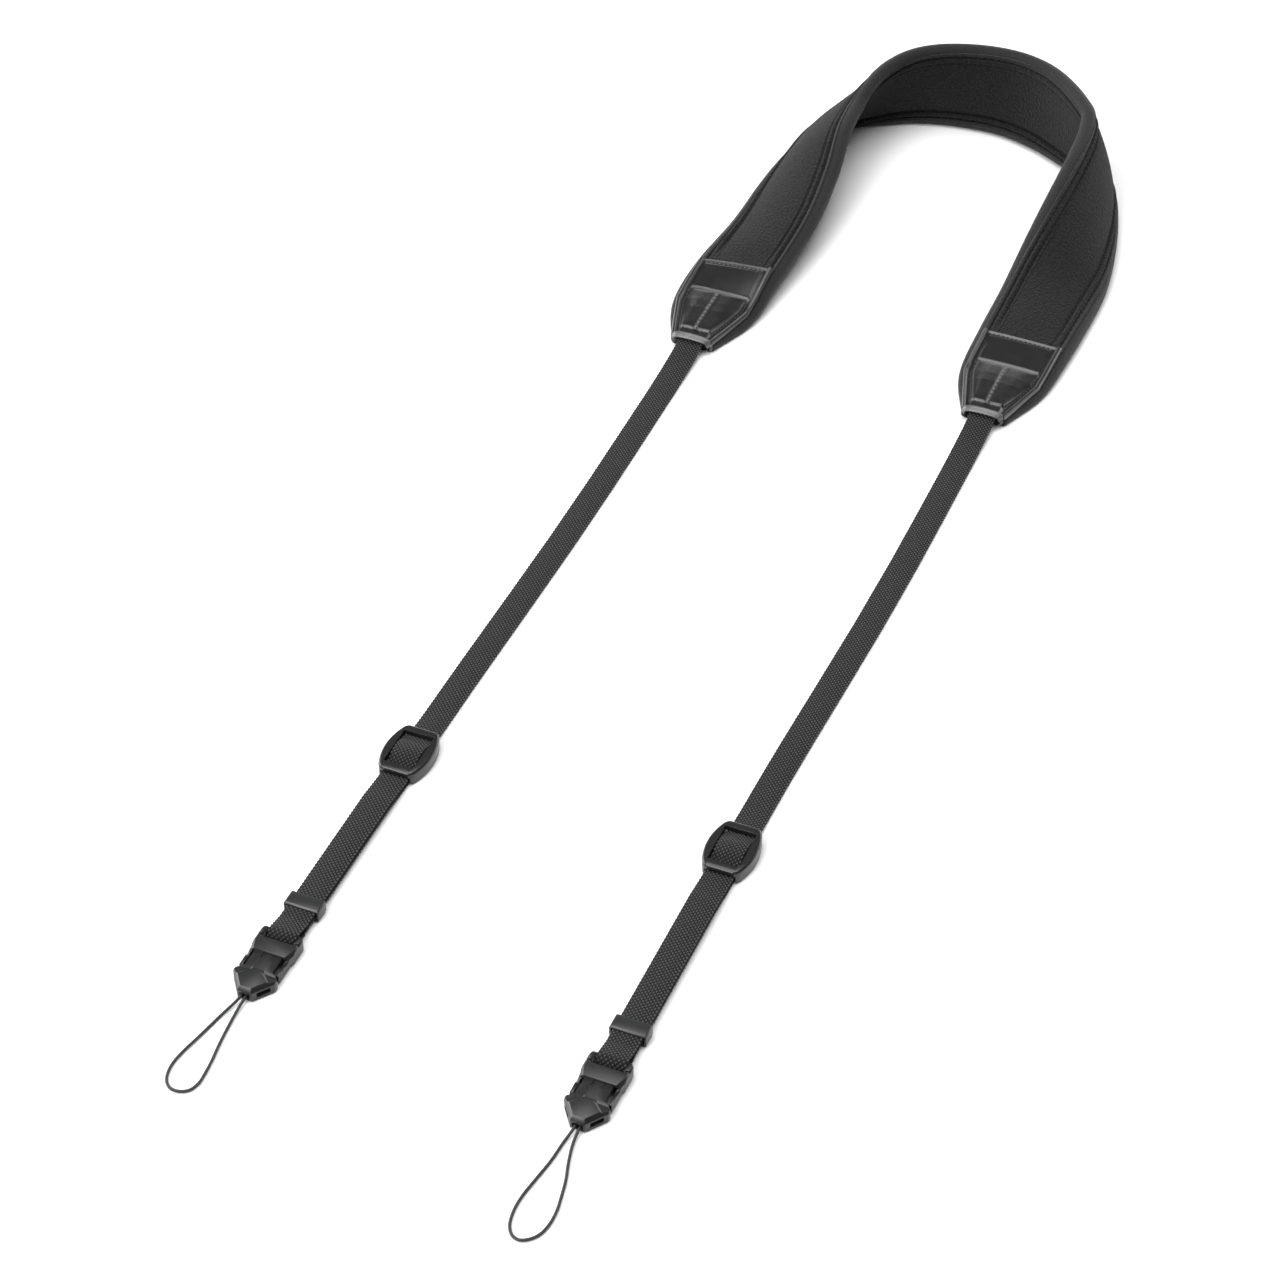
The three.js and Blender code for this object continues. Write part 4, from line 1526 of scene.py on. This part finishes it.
    def build_yarns(self) -> bpy.types.Object:
        """Lays the yarns on every stretch that shows.

        Returns:
            The yarns.
        """
        out, back = (self.to_world(line) for line in self.lines())
        bend_end = len(self.turn_degrees)
        sketch = MeshSketch()
        self.lay_yarns(sketch, np.vstack([out, back[:bend_end]]), 1)
        single = out[out[:, 1] > self.slider_y + 8]
        self.lay_yarns(sketch, single, -1)
        self.lay_yarns(sketch, back[bend_end - 2 :], 1)
        return sketch.to_object(f"tape_yarns_{self.leg.side}", TAPE_YARN)

    def dress(self) -> None:
        """Builds the tape and places it."""
        enlist(self.build_core(), Body.STRAP, Slot.WEBBING, f"webbing_{self.leg.side}")
        enlist(self.build_yarns(), Body.STRAP, Slot.WEBBING)


class Carving:
    """Cuts and softens moulded pieces."""

    @staticmethod
    def solid(sections: Array) -> bpy.types.Object:
        """A plain closed skin through sections, for cutting.

        Args:
            sections: Points by section and place in it.

        Returns:
            A temporary object.
        """
        sketch = MeshSketch()
        sketch.loft(sections)
        return sketch.to_object("cutter", BUCKLE_PLASTIC)

    @staticmethod
    def block(low: Sequence[float], high: Sequence[float]) -> bpy.types.Object:
        """A box for cutting.

        Args:
            low: Low corner.
            high: High corner.

        Returns:
            A temporary object.
        """
        (x0, y0, z0), (x1, y1, z1) = low, high
        ring = np.array([[x0, y0], [x1, y0], [x1, y1], [x0, y1]])
        return Carving.solid(np.array([level(ring, z0), level(ring, z1)]))

    @staticmethod
    def carve(
        piece: bpy.types.Object, away: Sequence[bpy.types.Object], on: Sequence[bpy.types.Object] = ()
    ) -> bpy.types.Mesh:
        """Adds solids to a piece, cuts others out of it and uses all of them up.

        Args:
            piece: The piece.
            away: The solids to cut out.
            on: The solids to add first.

        Returns:
            The carved mesh.
        """
        for operation, tools in (("UNION", on), ("DIFFERENCE", away)):
            for tool in tools:
                modifier = piece.modifiers.new("carve", "BOOLEAN")
                modifier.operation = operation
                modifier.solver = "EXACT"
                modifier.object = tool
        graph = bpy.context.evaluated_depsgraph_get()
        mesh = bpy.data.meshes.new_from_object(piece.evaluated_get(graph))
        discard(piece, *away, *on)
        return mesh

    @staticmethod
    def soften(mesh: bpy.types.Mesh, radius: float, segments: int, angle_deg: float = 24.0) -> None:
        """Rounds a mesh's sharp edges.

        Args:
            mesh: The mesh, in metres.
            radius: Size of the rounding.
            segments: Steps of the rounding.
            angle_deg: Edges that turn more than this are rounded.
        """
        flat, limit = math.radians(FLAT_DEG), math.radians(angle_deg)
        with opened(mesh) as shell:
            bmesh.ops.remove_doubles(shell, verts=shell.verts, dist=CARVED_WELD_MM * MM)
            bmesh.ops.dissolve_limit(shell, angle_limit=flat, verts=shell.verts, edges=shell.edges)
            sharp = [e for e in shell.edges if len(e.link_faces) == 2 and e.calc_face_angle(0) > limit]
            bmesh.ops.bevel(
                shell,
                geom=sharp,
                offset=radius * MM,
                offset_type="OFFSET",
                segments=segments,
                profile=0.5,
                affect="EDGES",
                clamp_overlap=True,
            )

    @staticmethod
    def copied(node: str, finish: Finish) -> bpy.types.Object:
        """A welded copy of a solid, for carving.

        Args:
            node: The solid's name.
            finish: Its finish.

        Returns:
            A temporary object.
        """
        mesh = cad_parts[node].data.copy()
        with opened(mesh) as shell:
            bmesh.ops.remove_doubles(shell, verts=shell.verts, dist=WELD_MM * MM)
        return finished_object("copy", mesh, finish, ALL_SMOOTH_DEG)


def joined(piece: bpy.types.Object, addition: bpy.types.Object) -> bpy.types.Object:
    """Adds another object's shell to a piece and removes that object.

    Args:
        piece: The piece that stays.
        addition: The object whose shell it takes.

    Returns:
        The piece.
    """
    with opened(piece.data) as shell:
        shell.from_mesh(addition.data)
    discard(addition)
    return piece


@dataclass
class Slider:
    """The adjuster frame: barrel sides, rounded corners, two end bars over the tape and a middle bar.

    The middle bar has its half width, underside and top. Each row of the profile: height, inset.
    """

    leg: Leg
    y: float = SLIDER_Y
    half_length: float = 11.0
    mid_half: float = 8.5
    side_drop: float = 1.7
    side_end: float = 8.8
    flat_half: float = 4.2
    slot_half: float = 5.4
    bar: float = 3.1
    bar_under: float = 3.05
    middle_bar: tuple[float, float, float] = (1.6, 0.6, 2.5)
    bar_overlap: float = 0.4
    profile: Rows = (
        (0.0, 0.5), (0.15, 0.15), (0.5, 0.0), (4.2, 0.0), (4.42, 0.05), (4.9, 0.53), (5.0, 0.85),
    )
    radius: float = 0.3

    def outline(self, inset: float) -> Array:
        """The frame's outline.

        Args:
            inset: How far it is drawn in.

        Returns:
            Points around it, from the frame's middle.
        """
        v = np.linspace(0, self.side_end, 9)
        side = np.column_stack([self.mid_half - self.side_drop * (v / self.side_end) ** 2, v])
        lean = 2 * self.side_drop / self.side_end
        pull = np.array([side[-1, 0] - lean * (self.half_length - self.side_end), self.half_length])
        t = np.linspace(0, 1, 10)[1:, None]
        flat_end = np.array([self.flat_half, self.half_length])
        corner = side[-1] * (1 - t) ** 2 + pull * 2 * t * (1 - t) + flat_end * t**2
        quarter = np.vstack([side, corner])
        right = np.vstack([quarter[:0:-1] * [1, -1], quarter])
        ring = np.vstack([right, right[::-1] * [-1, 1]])
        ahead = unit(np.roll(ring, -1, axis=0) - np.roll(ring, 1, axis=0))
        return ring + inset * np.column_stack([-ahead[:, 1], ahead[:, 0]])

    def build(self) -> bpy.types.Object:
        """Builds the frame.

        Returns:
            The frame.
        """
        middle = np.array([self.leg.x, self.y, 0])
        rings = [level(self.outline(inset), z) for z, inset in self.profile]
        piece = Carving.solid(np.array(rings) + middle)
        slot, inner, past = self.slot_half, self.half_length - self.bar, self.half_length + 2
        window = Carving.block(middle + [-slot, -inner, -1], middle + [slot, inner, 6])
        tunnel = Carving.block(middle + [-slot, -past, -1], middle + [slot, past, self.bar_under])
        mesh = Carving.carve(piece, [window, tunnel])
        Carving.soften(mesh, self.radius, 3, 40.0)
        frame_piece = finished_object(f"adjuster_{self.leg.side}", mesh, SLIDER_PLASTIC, 40)
        half, low, high = self.middle_bar
        reach = slot + self.bar_overlap
        bar = Carving.block(middle + [-reach, -half, low], middle + [reach, half, high])
        Carving.soften(bar.data, self.radius, 2)
        return joined(frame_piece, bar)

    def dress(self) -> None:
        """Builds the frame and places it."""
        enlist(self.build(), Body.STRAP, Slot.PLASTIC, f"slider_{self.leg.side}")


@dataclass
class Keeper:
    """The ring around both tape layers."""

    leg: Leg
    radius: float = 0.18
    front_chamfer: float = 0.55
    spare: float = 0.5

    def dress(self) -> None:
        """Builds the ring with its chamfered front and places it."""
        node = f"keeper_{self.leg.side}"
        solid = Carving.copied(node, RING_PLASTIC)
        corners = np.array([corner.co for corner in solid.data.vertices]) / MM
        low, high = corners.min(axis=0), corners.max(axis=0)
        cut, spare = self.front_chamfer, self.spare
        wedge = [(-spare, -cut - spare), (cut + spare, spare), (-spare, spare)]
        ends = [[[x, low[1] + y, high[2] + z] for y, z in wedge] for x in (low[0] - 1, high[0] + 1)]
        carved = Carving.carve(solid, [Carving.solid(np.array(ends))])
        Carving.soften(carved, self.radius, 2)
        piece = finished_object(f"tape_ring_{self.leg.side}", carved, RING_PLASTIC, 50)
        enlist(piece, self.leg.keeper_body, Slot.KEEPER, node)


@dataclass
class Buckle:
    """The fastened buckle: latch plate with rails and bracket, and the faceted tip with its cord hole.

    Outlines have x and y, with y from the tip's end. Each flank row: y, edge, its height, lean. A box has
    its low and its high corner, of the right side where there are two. Each bracket level: height, inset.
    """

    leg: Leg
    height: float = 5.0
    outline: Rows = ((2.4, 0.0), (7.2, 6.4), (7.2, 7.9), (6.4, 8.7), (4.7, 9.9), (4.7, 16.5))
    front_chamfer: float = 1.15
    plain_chamfer: float = 0.35
    low_chamfer: float = 0.45
    side_top: float = 3.7
    flank_rows: Rows = (
        (4.3, 6.8, 4.5, 1.7),
        (5.3, 5.8, 4.5, 1.7),
        (8.5, 2.55, 4.4, 1.7),
        (9.4, 2.0, 4.72, 0.4),
        (17.0, 2.0, 4.72, 0.4),
    )
    flank_reach: float = 8.4
    flank_top: float = 6.5
    spine_start: float = 8.9
    spine_top: float = 4.93
    hole: Rows = ((-1.7, -1.0, 0.9), (1.7, 4.0, 2.9))
    recess_at: float = 0.52
    recess_half: float = 2.3
    recess_depth: float = 1.0
    recess_levels: tuple[float, float] = (1.2, 3.2)
    rail: Rows = ((5.12, 21.9, 0.3), (6.2, 27.1, 4.3))
    rail_end_outline: Rows = ((8.0, 24.4), (6.9, 25.6), (4.6, 27.2), (4.6, 30.0), (8.0, 30.0))
    rail_groove: Rows = ((5.2, 22.5, 4.1), (7.5, 22.95, 6.0))
    plate_edge: Rows = ((-6.2, 16.42, 4.2), (6.2, 17.4, 4.99))
    wing: Rows = ((6.4, 16.4), (7.2, 18.8))
    wing_side_top: float = 4.0
    wing_chamfer: float = 1.0
    bracket_bars: tuple[Rows, ...] = (
        ((-1.9, 14.0), (-1.5, 16.2)),
        ((1.5, 14.0), (1.9, 16.2)),
        ((-1.9, 15.8), (1.9, 16.2)),
    )
    bracket_levels: Rows = ((4.6, 0.0), (5.02, 0.0), (5.26, 0.2))
    radius: float = 0.16

    def here(self, points: Array) -> Array:
        """Moves points from the buckle's own frame to the part's.

        Args:
            points: Points, with y from the tip's end.

        Returns:
            The points in the part's frame.
        """
        return np.asarray(points, float) + [self.leg.x, self.leg.tip_y, 0]

    def box(self, corners: Rows, side: int = 1) -> bpy.types.Object:
        """A box in the buckle's own frame.

        Args:
            corners: Its low and its high corner.
            side: 1 for the right, -1 for its mirror image on the left.

        Returns:
            A temporary object.
        """
        ends = np.array(corners) * [side, 1, 1]
        return Carving.block(self.here(ends.min(axis=0)), self.here(ends.max(axis=0)))

    def prism(self, outline: Array, low: float, high: float) -> bpy.types.Object:
        """An upright solid in the buckle's own frame.

        Args:
            outline: Its outline.
            low: Its underside.
            high: Its top.

        Returns:
            A temporary object.
        """
        return Carving.solid(np.array([self.here(level(outline, z)) for z in (low, high)]))

    def tip_ring(self, z: float, inset: float) -> Array:
        """One level of the tip's outline, drawn in by a chamfer.

        Args:
            z: The level.
            inset: How far the edges are drawn in.

        Returns:
            Points in the part's frame.
        """
        right = np.array(self.outline)
        ring = np.vstack([right, right[::-1] * [-1, 1]])
        ahead = unit(np.roll(ring, -1, axis=0) - ring)
        inward = np.column_stack([-ahead[:, 1], ahead[:, 0]])
        reach = np.sum(inward * ring, axis=1) + inset
        pairs = np.stack([np.roll(inward, 1, axis=0), inward], axis=1)
        sides = np.stack([np.roll(reach, 1), reach], axis=1)
        drawn = np.linalg.solve(pairs, sides[..., None])[..., 0]
        return self.here(level(drawn, z))

    def bevel(
        self, start: tuple[float, float], end: tuple[float, float], low: float, inset: float
    ) -> bpy.types.Object:
        """The wedge over one sloping facet.

        Args:
            start: Start of the facet's edge, the buckle lying to the left of the way.
            end: End of the edge.
            low: Height at which the facet meets the side wall.
            inset: How far in it meets the top.

        Returns:
            A cutter.
        """
        ahead = unit(np.array(end) - np.array(start))
        inward = np.array([-ahead[1], ahead[0]])
        slope = (self.height - low) / inset
        ring = [(-1.0, low - slope), (1.0 + inset, self.height + slope), (-1.0, self.height + slope)]
        sections = []
        for foot in (np.array(start) - 3 * ahead, np.array(end) + 3 * ahead):
            sections.append(self.here([[*(foot + inward * d), z] for d, z in ring]))
        return Carving.solid(np.array(sections))

    def recess(self, side: int) -> bpy.types.Object:
        """The shallow pocket in one sloping side wall of the tip.

        Args:
            side: 1 for the right, -1 for the left.

        Returns:
            A cutter.
        """
        start, end = np.array(self.outline[:2])
        ahead = unit(end - start)
        inward = np.array([-ahead[1], ahead[0]])
        middle = start + self.recess_at * (end - start)
        far, deep = ahead * self.recess_half, inward * self.recess_depth
        ring = np.array([middle - far - deep, middle + far - deep, middle + far + deep, middle - far + deep])
        return self.prism(ring * [side, 1], *self.recess_levels)

    def flank(self, side: int) -> bpy.types.Object:
        """The space beside the tip's raised spine.

        Args:
            side: 1 for the right, -1 for the left.

        Returns:
            A cutter.
        """
        sections = []
        for v, edge, foot, lean in self.flank_rows:
            reach, top = self.flank_reach, self.flank_top
            ring = [[edge, foot], [reach, foot - 0.5], [reach, top], [edge - lean * (top - foot), top]]
            sections.append(self.here([[side * u, v, z] for u, z in ring]))
        return Carving.solid(np.array(sections))

    def build_tip(self) -> bpy.types.Object:
        """Builds the tip with its facets, side recesses and cord hole.

        Returns:
            The tip.
        """
        low, plain, top = self.low_chamfer, self.plain_chamfer, self.height
        levels = [(0.0, low), (low, 0.0), (top - plain, 0.0), (top, plain)]
        piece = Carving.solid(np.array([self.tip_ring(z, inset) for z, inset in levels]))
        hole = self.box(self.hole)
        step = self.box(((-3.0, self.spine_start, self.spine_top), (3.0, 18.0, 6.0)))
        (front_x, front_y), (wing_x, wing_y) = self.outline[:2]
        way = [(-wing_x, wing_y), (-front_x, front_y), (front_x, front_y), (wing_x, wing_y)]
        edges = [way[1:3], way[2:4], way[0:2]]
        facets = [self.bevel(*edge, self.side_top, self.front_chamfer) for edge in edges]
        cutters = [hole, step, *facets]
        for side in (-1, 1):
            cutters += [self.flank(side), self.recess(side)]
        mesh = Carving.carve(piece, cutters)
        Carving.soften(mesh, self.radius, 2)
        return finished_object(f"buckle_nose_{self.leg.side}", mesh, BUCKLE_PLASTIC, 50)

    def rail_end(self, side: int) -> bpy.types.Object:
        """The space beyond one rail's slanted end.

        Args:
            side: 1 for the right, -1 for the left.

        Returns:
            A cutter.
        """
        return self.prism(np.array(self.rail_end_outline) * [side, 1], -1, 7)

    def build_latch(self) -> bpy.types.Object:
        """Builds the latch plate with its square lower edge, wing facets and grooved rails.

        Returns:
            The latch plate.
        """
        piece = Carving.copied(f"buckle_latch_{self.leg.side}", BUCKLE_PLASTIC)
        mirrored = [(-x, y) for x, y in reversed(self.wing)]
        away = []
        for side, wing in ((1, self.wing), (-1, mirrored)):
            away.append(self.bevel(*wing, self.wing_side_top, self.wing_chamfer))
            away.append(self.box(self.rail_groove, side))
            away.append(self.rail_end(side))
        fills = [self.box(self.plate_edge), *(self.box(self.rail, side) for side in (-1, 1))]
        carved = Carving.carve(piece, away, fills)
        Carving.soften(carved, self.radius, 2)
        return finished_object(f"latch_plate_{self.leg.side}", carved, BUCKLE_PLASTIC, 50)

    def build_bracket(self) -> bpy.types.Object:
        """Builds the small raised frame where the spine enters the latch plate.

        Returns:
            The bracket.
        """
        sketch = MeshSketch()
        for (x0, y0), (x1, y1) in self.bracket_bars:
            levels = []
            for z, draw in self.bracket_levels:
                left, right, low, high = x0 + draw, x1 - draw, y0 + draw, y1 - draw
                ring = [[left, low], [right, low], [right, high], [left, high]]
                levels.append(self.here(level(ring, z)))
            sketch.loft(np.array(levels))
        return sketch.to_object(f"latch_frame_{self.leg.side}", BUCKLE_PLASTIC, 40)

    def dress(self) -> None:
        """Builds the buckle's pieces and places them."""
        enlist(self.build_latch(), Body.STRAP, Slot.PLASTIC, f"buckle_latch_{self.leg.side}")
        enlist(self.build_tip(), Body.STRAP, Slot.PLASTIC, f"buckle_tip_{self.leg.side}")
        enlist(self.build_bracket(), Body.STRAP, Slot.PLASTIC)


@dataclass
class CordLoop:
    """A thin loop that leaves the buckle's tip, lies on the table and goes back in.

    The route is given as sideways and forward offsets from the tip's end.
    """

    leg: Leg
    route: Rows
    diameter: float = 1.0
    floor_z: float = 0.56
    hole_z: float = 1.9
    lift: float = 8.0
    steps: int = 8

    def dress(self) -> None:
        flat = np.array(self.route)
        rise = smoothstep(flat[:, 1], -self.lift, 0)
        z = self.floor_z + (self.hole_z - self.floor_z) * rise
        places = np.column_stack([flat[:, 0] + self.leg.x, flat[:, 1] + self.leg.tip_y, z])
        line = spaced_spline(places, self.steps) * MM
        curve = bpy.data.curves.new(f"loop_cord_{self.leg.side}", "CURVE")
        curve.dimensions = "3D"
        spline = curve.splines.new("POLY")
        spline.points.add(len(line) - 1)
        spline.points.foreach_set("co", level(line, 1.0).astype(np.float32).ravel())
        spline.use_smooth = True
        curve.bevel_depth = self.diameter / 2 * MM
        curve.bevel_resolution = 3
        curve.use_fill_caps = True
        curve.materials.append(CORD_BRAID.material())
        cord = placed(curve.name, curve)
        enlist(cord, Body.STRAP, Slot.CORD, f"cord_loop_{self.leg.side}")
        length = float(line_lengths(line)[-1])
        LOG.info("%s is %.1f mm long", cord.name, length / MM)


@dataclass(frozen=True)
class SoftLight:
    """A rectangular studio light that points at the part's origin."""

    name: str
    place: tuple[float, float, float]
    size: tuple[float, float]
    watts: float

    def build(self) -> None:
        """Hangs the light."""
        light = bpy.data.lights.new(self.name, "AREA")
        light.shape = "RECTANGLE"
        light.size, light.size_y = self.size
        light.energy = self.watts
        lamp = placed(self.name, light)
        lamp.location = self.place
        lamp.rotation_mode = "QUATERNION"
        lamp.rotation_quaternion = (Vector((0, 0, 0)) - Vector(self.place)).to_track_quat("-Z", "Y")


@dataclass
class Studio:
    """Camera, floor and light."""

    camera_place: tuple[float, float, float] = (0.3222, -0.8569, 0.7660)
    camera_ahead: tuple[float, float, float] = (-0.2905, 0.6845, -0.6687)
    lens_mm: float = 94.0
    sensor_mm: float = 36.0
    floor_half: float = 15.0
    floor_z: float = -0.00016
    world: float = 0.12
    lights: tuple[SoftLight, ...] = (
        SoftLight("left_wall", (-1.7, -0.15, 0.58), (1.7, 1.15), 34.0),
        SoftLight("front_left", (-0.75, -1.65, 1.65), (1.3, 1.0), 36.0),
        SoftLight("overhead", (0.0, 0.0, 2.2), (2.0, 2.0), 56.0),
        SoftLight("back_strip", (0.4, 2.0, 0.45), (4.5, 0.7), 32.0),
    )

    def place_camera(self) -> None:
        """Sets up the camera."""
        data = bpy.data.cameras.new("camera")
        data.lens = self.lens_mm
        data.sensor_width = self.sensor_mm
        camera = placed("camera", data)
        camera.location = self.camera_place
        camera.rotation_mode = "QUATERNION"
        camera.rotation_quaternion = Vector(self.camera_ahead).to_track_quat("-Z", "Y")
        bpy.context.scene.camera = camera

    def build(self) -> None:
        """Lays the floor and hangs the lights."""
        side = self.floor_half
        mesh = bpy.data.meshes.new("floor")
        corners = [(-side, -side), (side, -side), (side, side), (-side, side)]
        mesh.from_pydata([(x, y, self.floor_z) for x, y in corners], [], [(0, 1, 2, 3)])
        mesh.materials.append(STUDIO_FLOOR.material())
        floor = placed("floor", mesh)
        floor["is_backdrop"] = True
        for light in self.lights:
            light.build()
        world = bpy.data.worlds.new("studio")
        world.use_nodes = True
        background = world.node_tree.nodes["Background"]
        background.inputs["Color"].default_value = (1, 1, 1, 1)
        background.inputs["Strength"].default_value = self.world
        bpy.context.scene.world = world
        bpy.context.scene.view_settings.view_transform = "Standard"


LEFT = Leg(
    side="left", end=0, tab_x=-58.3, x=-58.3, bow=1.2, tip_y=-270.8, keeper_body=Body.KEEPER_LEFT
)
RIGHT = Leg(
    side="right", end=18, tab_x=57.7, x=55.9, bow=1.4, tip_y=-278.0, keeper_body=Body.KEEPER_RIGHT
)
ROUTES = {
    "left": (
        (-1, 2.5), (-1.2, -1.5), (-3.6, -9), (-5.4, -18), (-7.2, -26.4), (-7.7, -31.8), (-7, -36),
        (-5.5, -38.7), (-3.2, -40.2), (-0.4, -40), (2, -38.4), (3.2, -35), (3.1, -31), (2.6, -26),
        (1.5, -18.8), (0.6, -11), (0.3, -4), (0.4, 2.5),
    ),
    "right": (
        (-0.7, 2.5), (-0.8, -1.5), (-1.7, -6), (-2.4, -14), (-3.6, -21.7), (-4.7, -29.1), (-4.7, -34.8),
        (-3.6, -39.9), (-1.5, -42.8), (0.9, -43.6), (3.4, -42.4), (5.6, -39.7), (6.7, -35.5), (6.7, -29.9),
        (5.8, -24.6), (4.6, -18.9), (2.5, -12), (1, -5), (0.7, 2.5),
    ),
}


def write_sizes() -> None:
    """Works out the solids' box and the dressed model's box."""
    boxes = {"cad": CAD_BOX, "visual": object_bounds()}
    {name: [list(corner) for corner in box] for name, box in boxes.items()}


def main() -> None:
    """Builds the strap piece by piece."""
    logging.basicConfig(level=logging.INFO, format="%(name)s: %(message)s")
    studio = Studio()
    studio.place_camera()
    for leg in (LEFT, RIGHT):
        CordLoop(leg, ROUTES[leg.side]).dress()
    band = NeckBand()
    NeckPad(band).dress()
    for leg in (LEFT, RIGHT):
        EndTab(band, leg).dress()
        Webbing(leg).dress()
        Slider(leg).dress()
        Keeper(leg).dress()
        Buckle(leg).dress()
    studio.build()
    write_sizes()


if __name__ == "__main__":
    main()
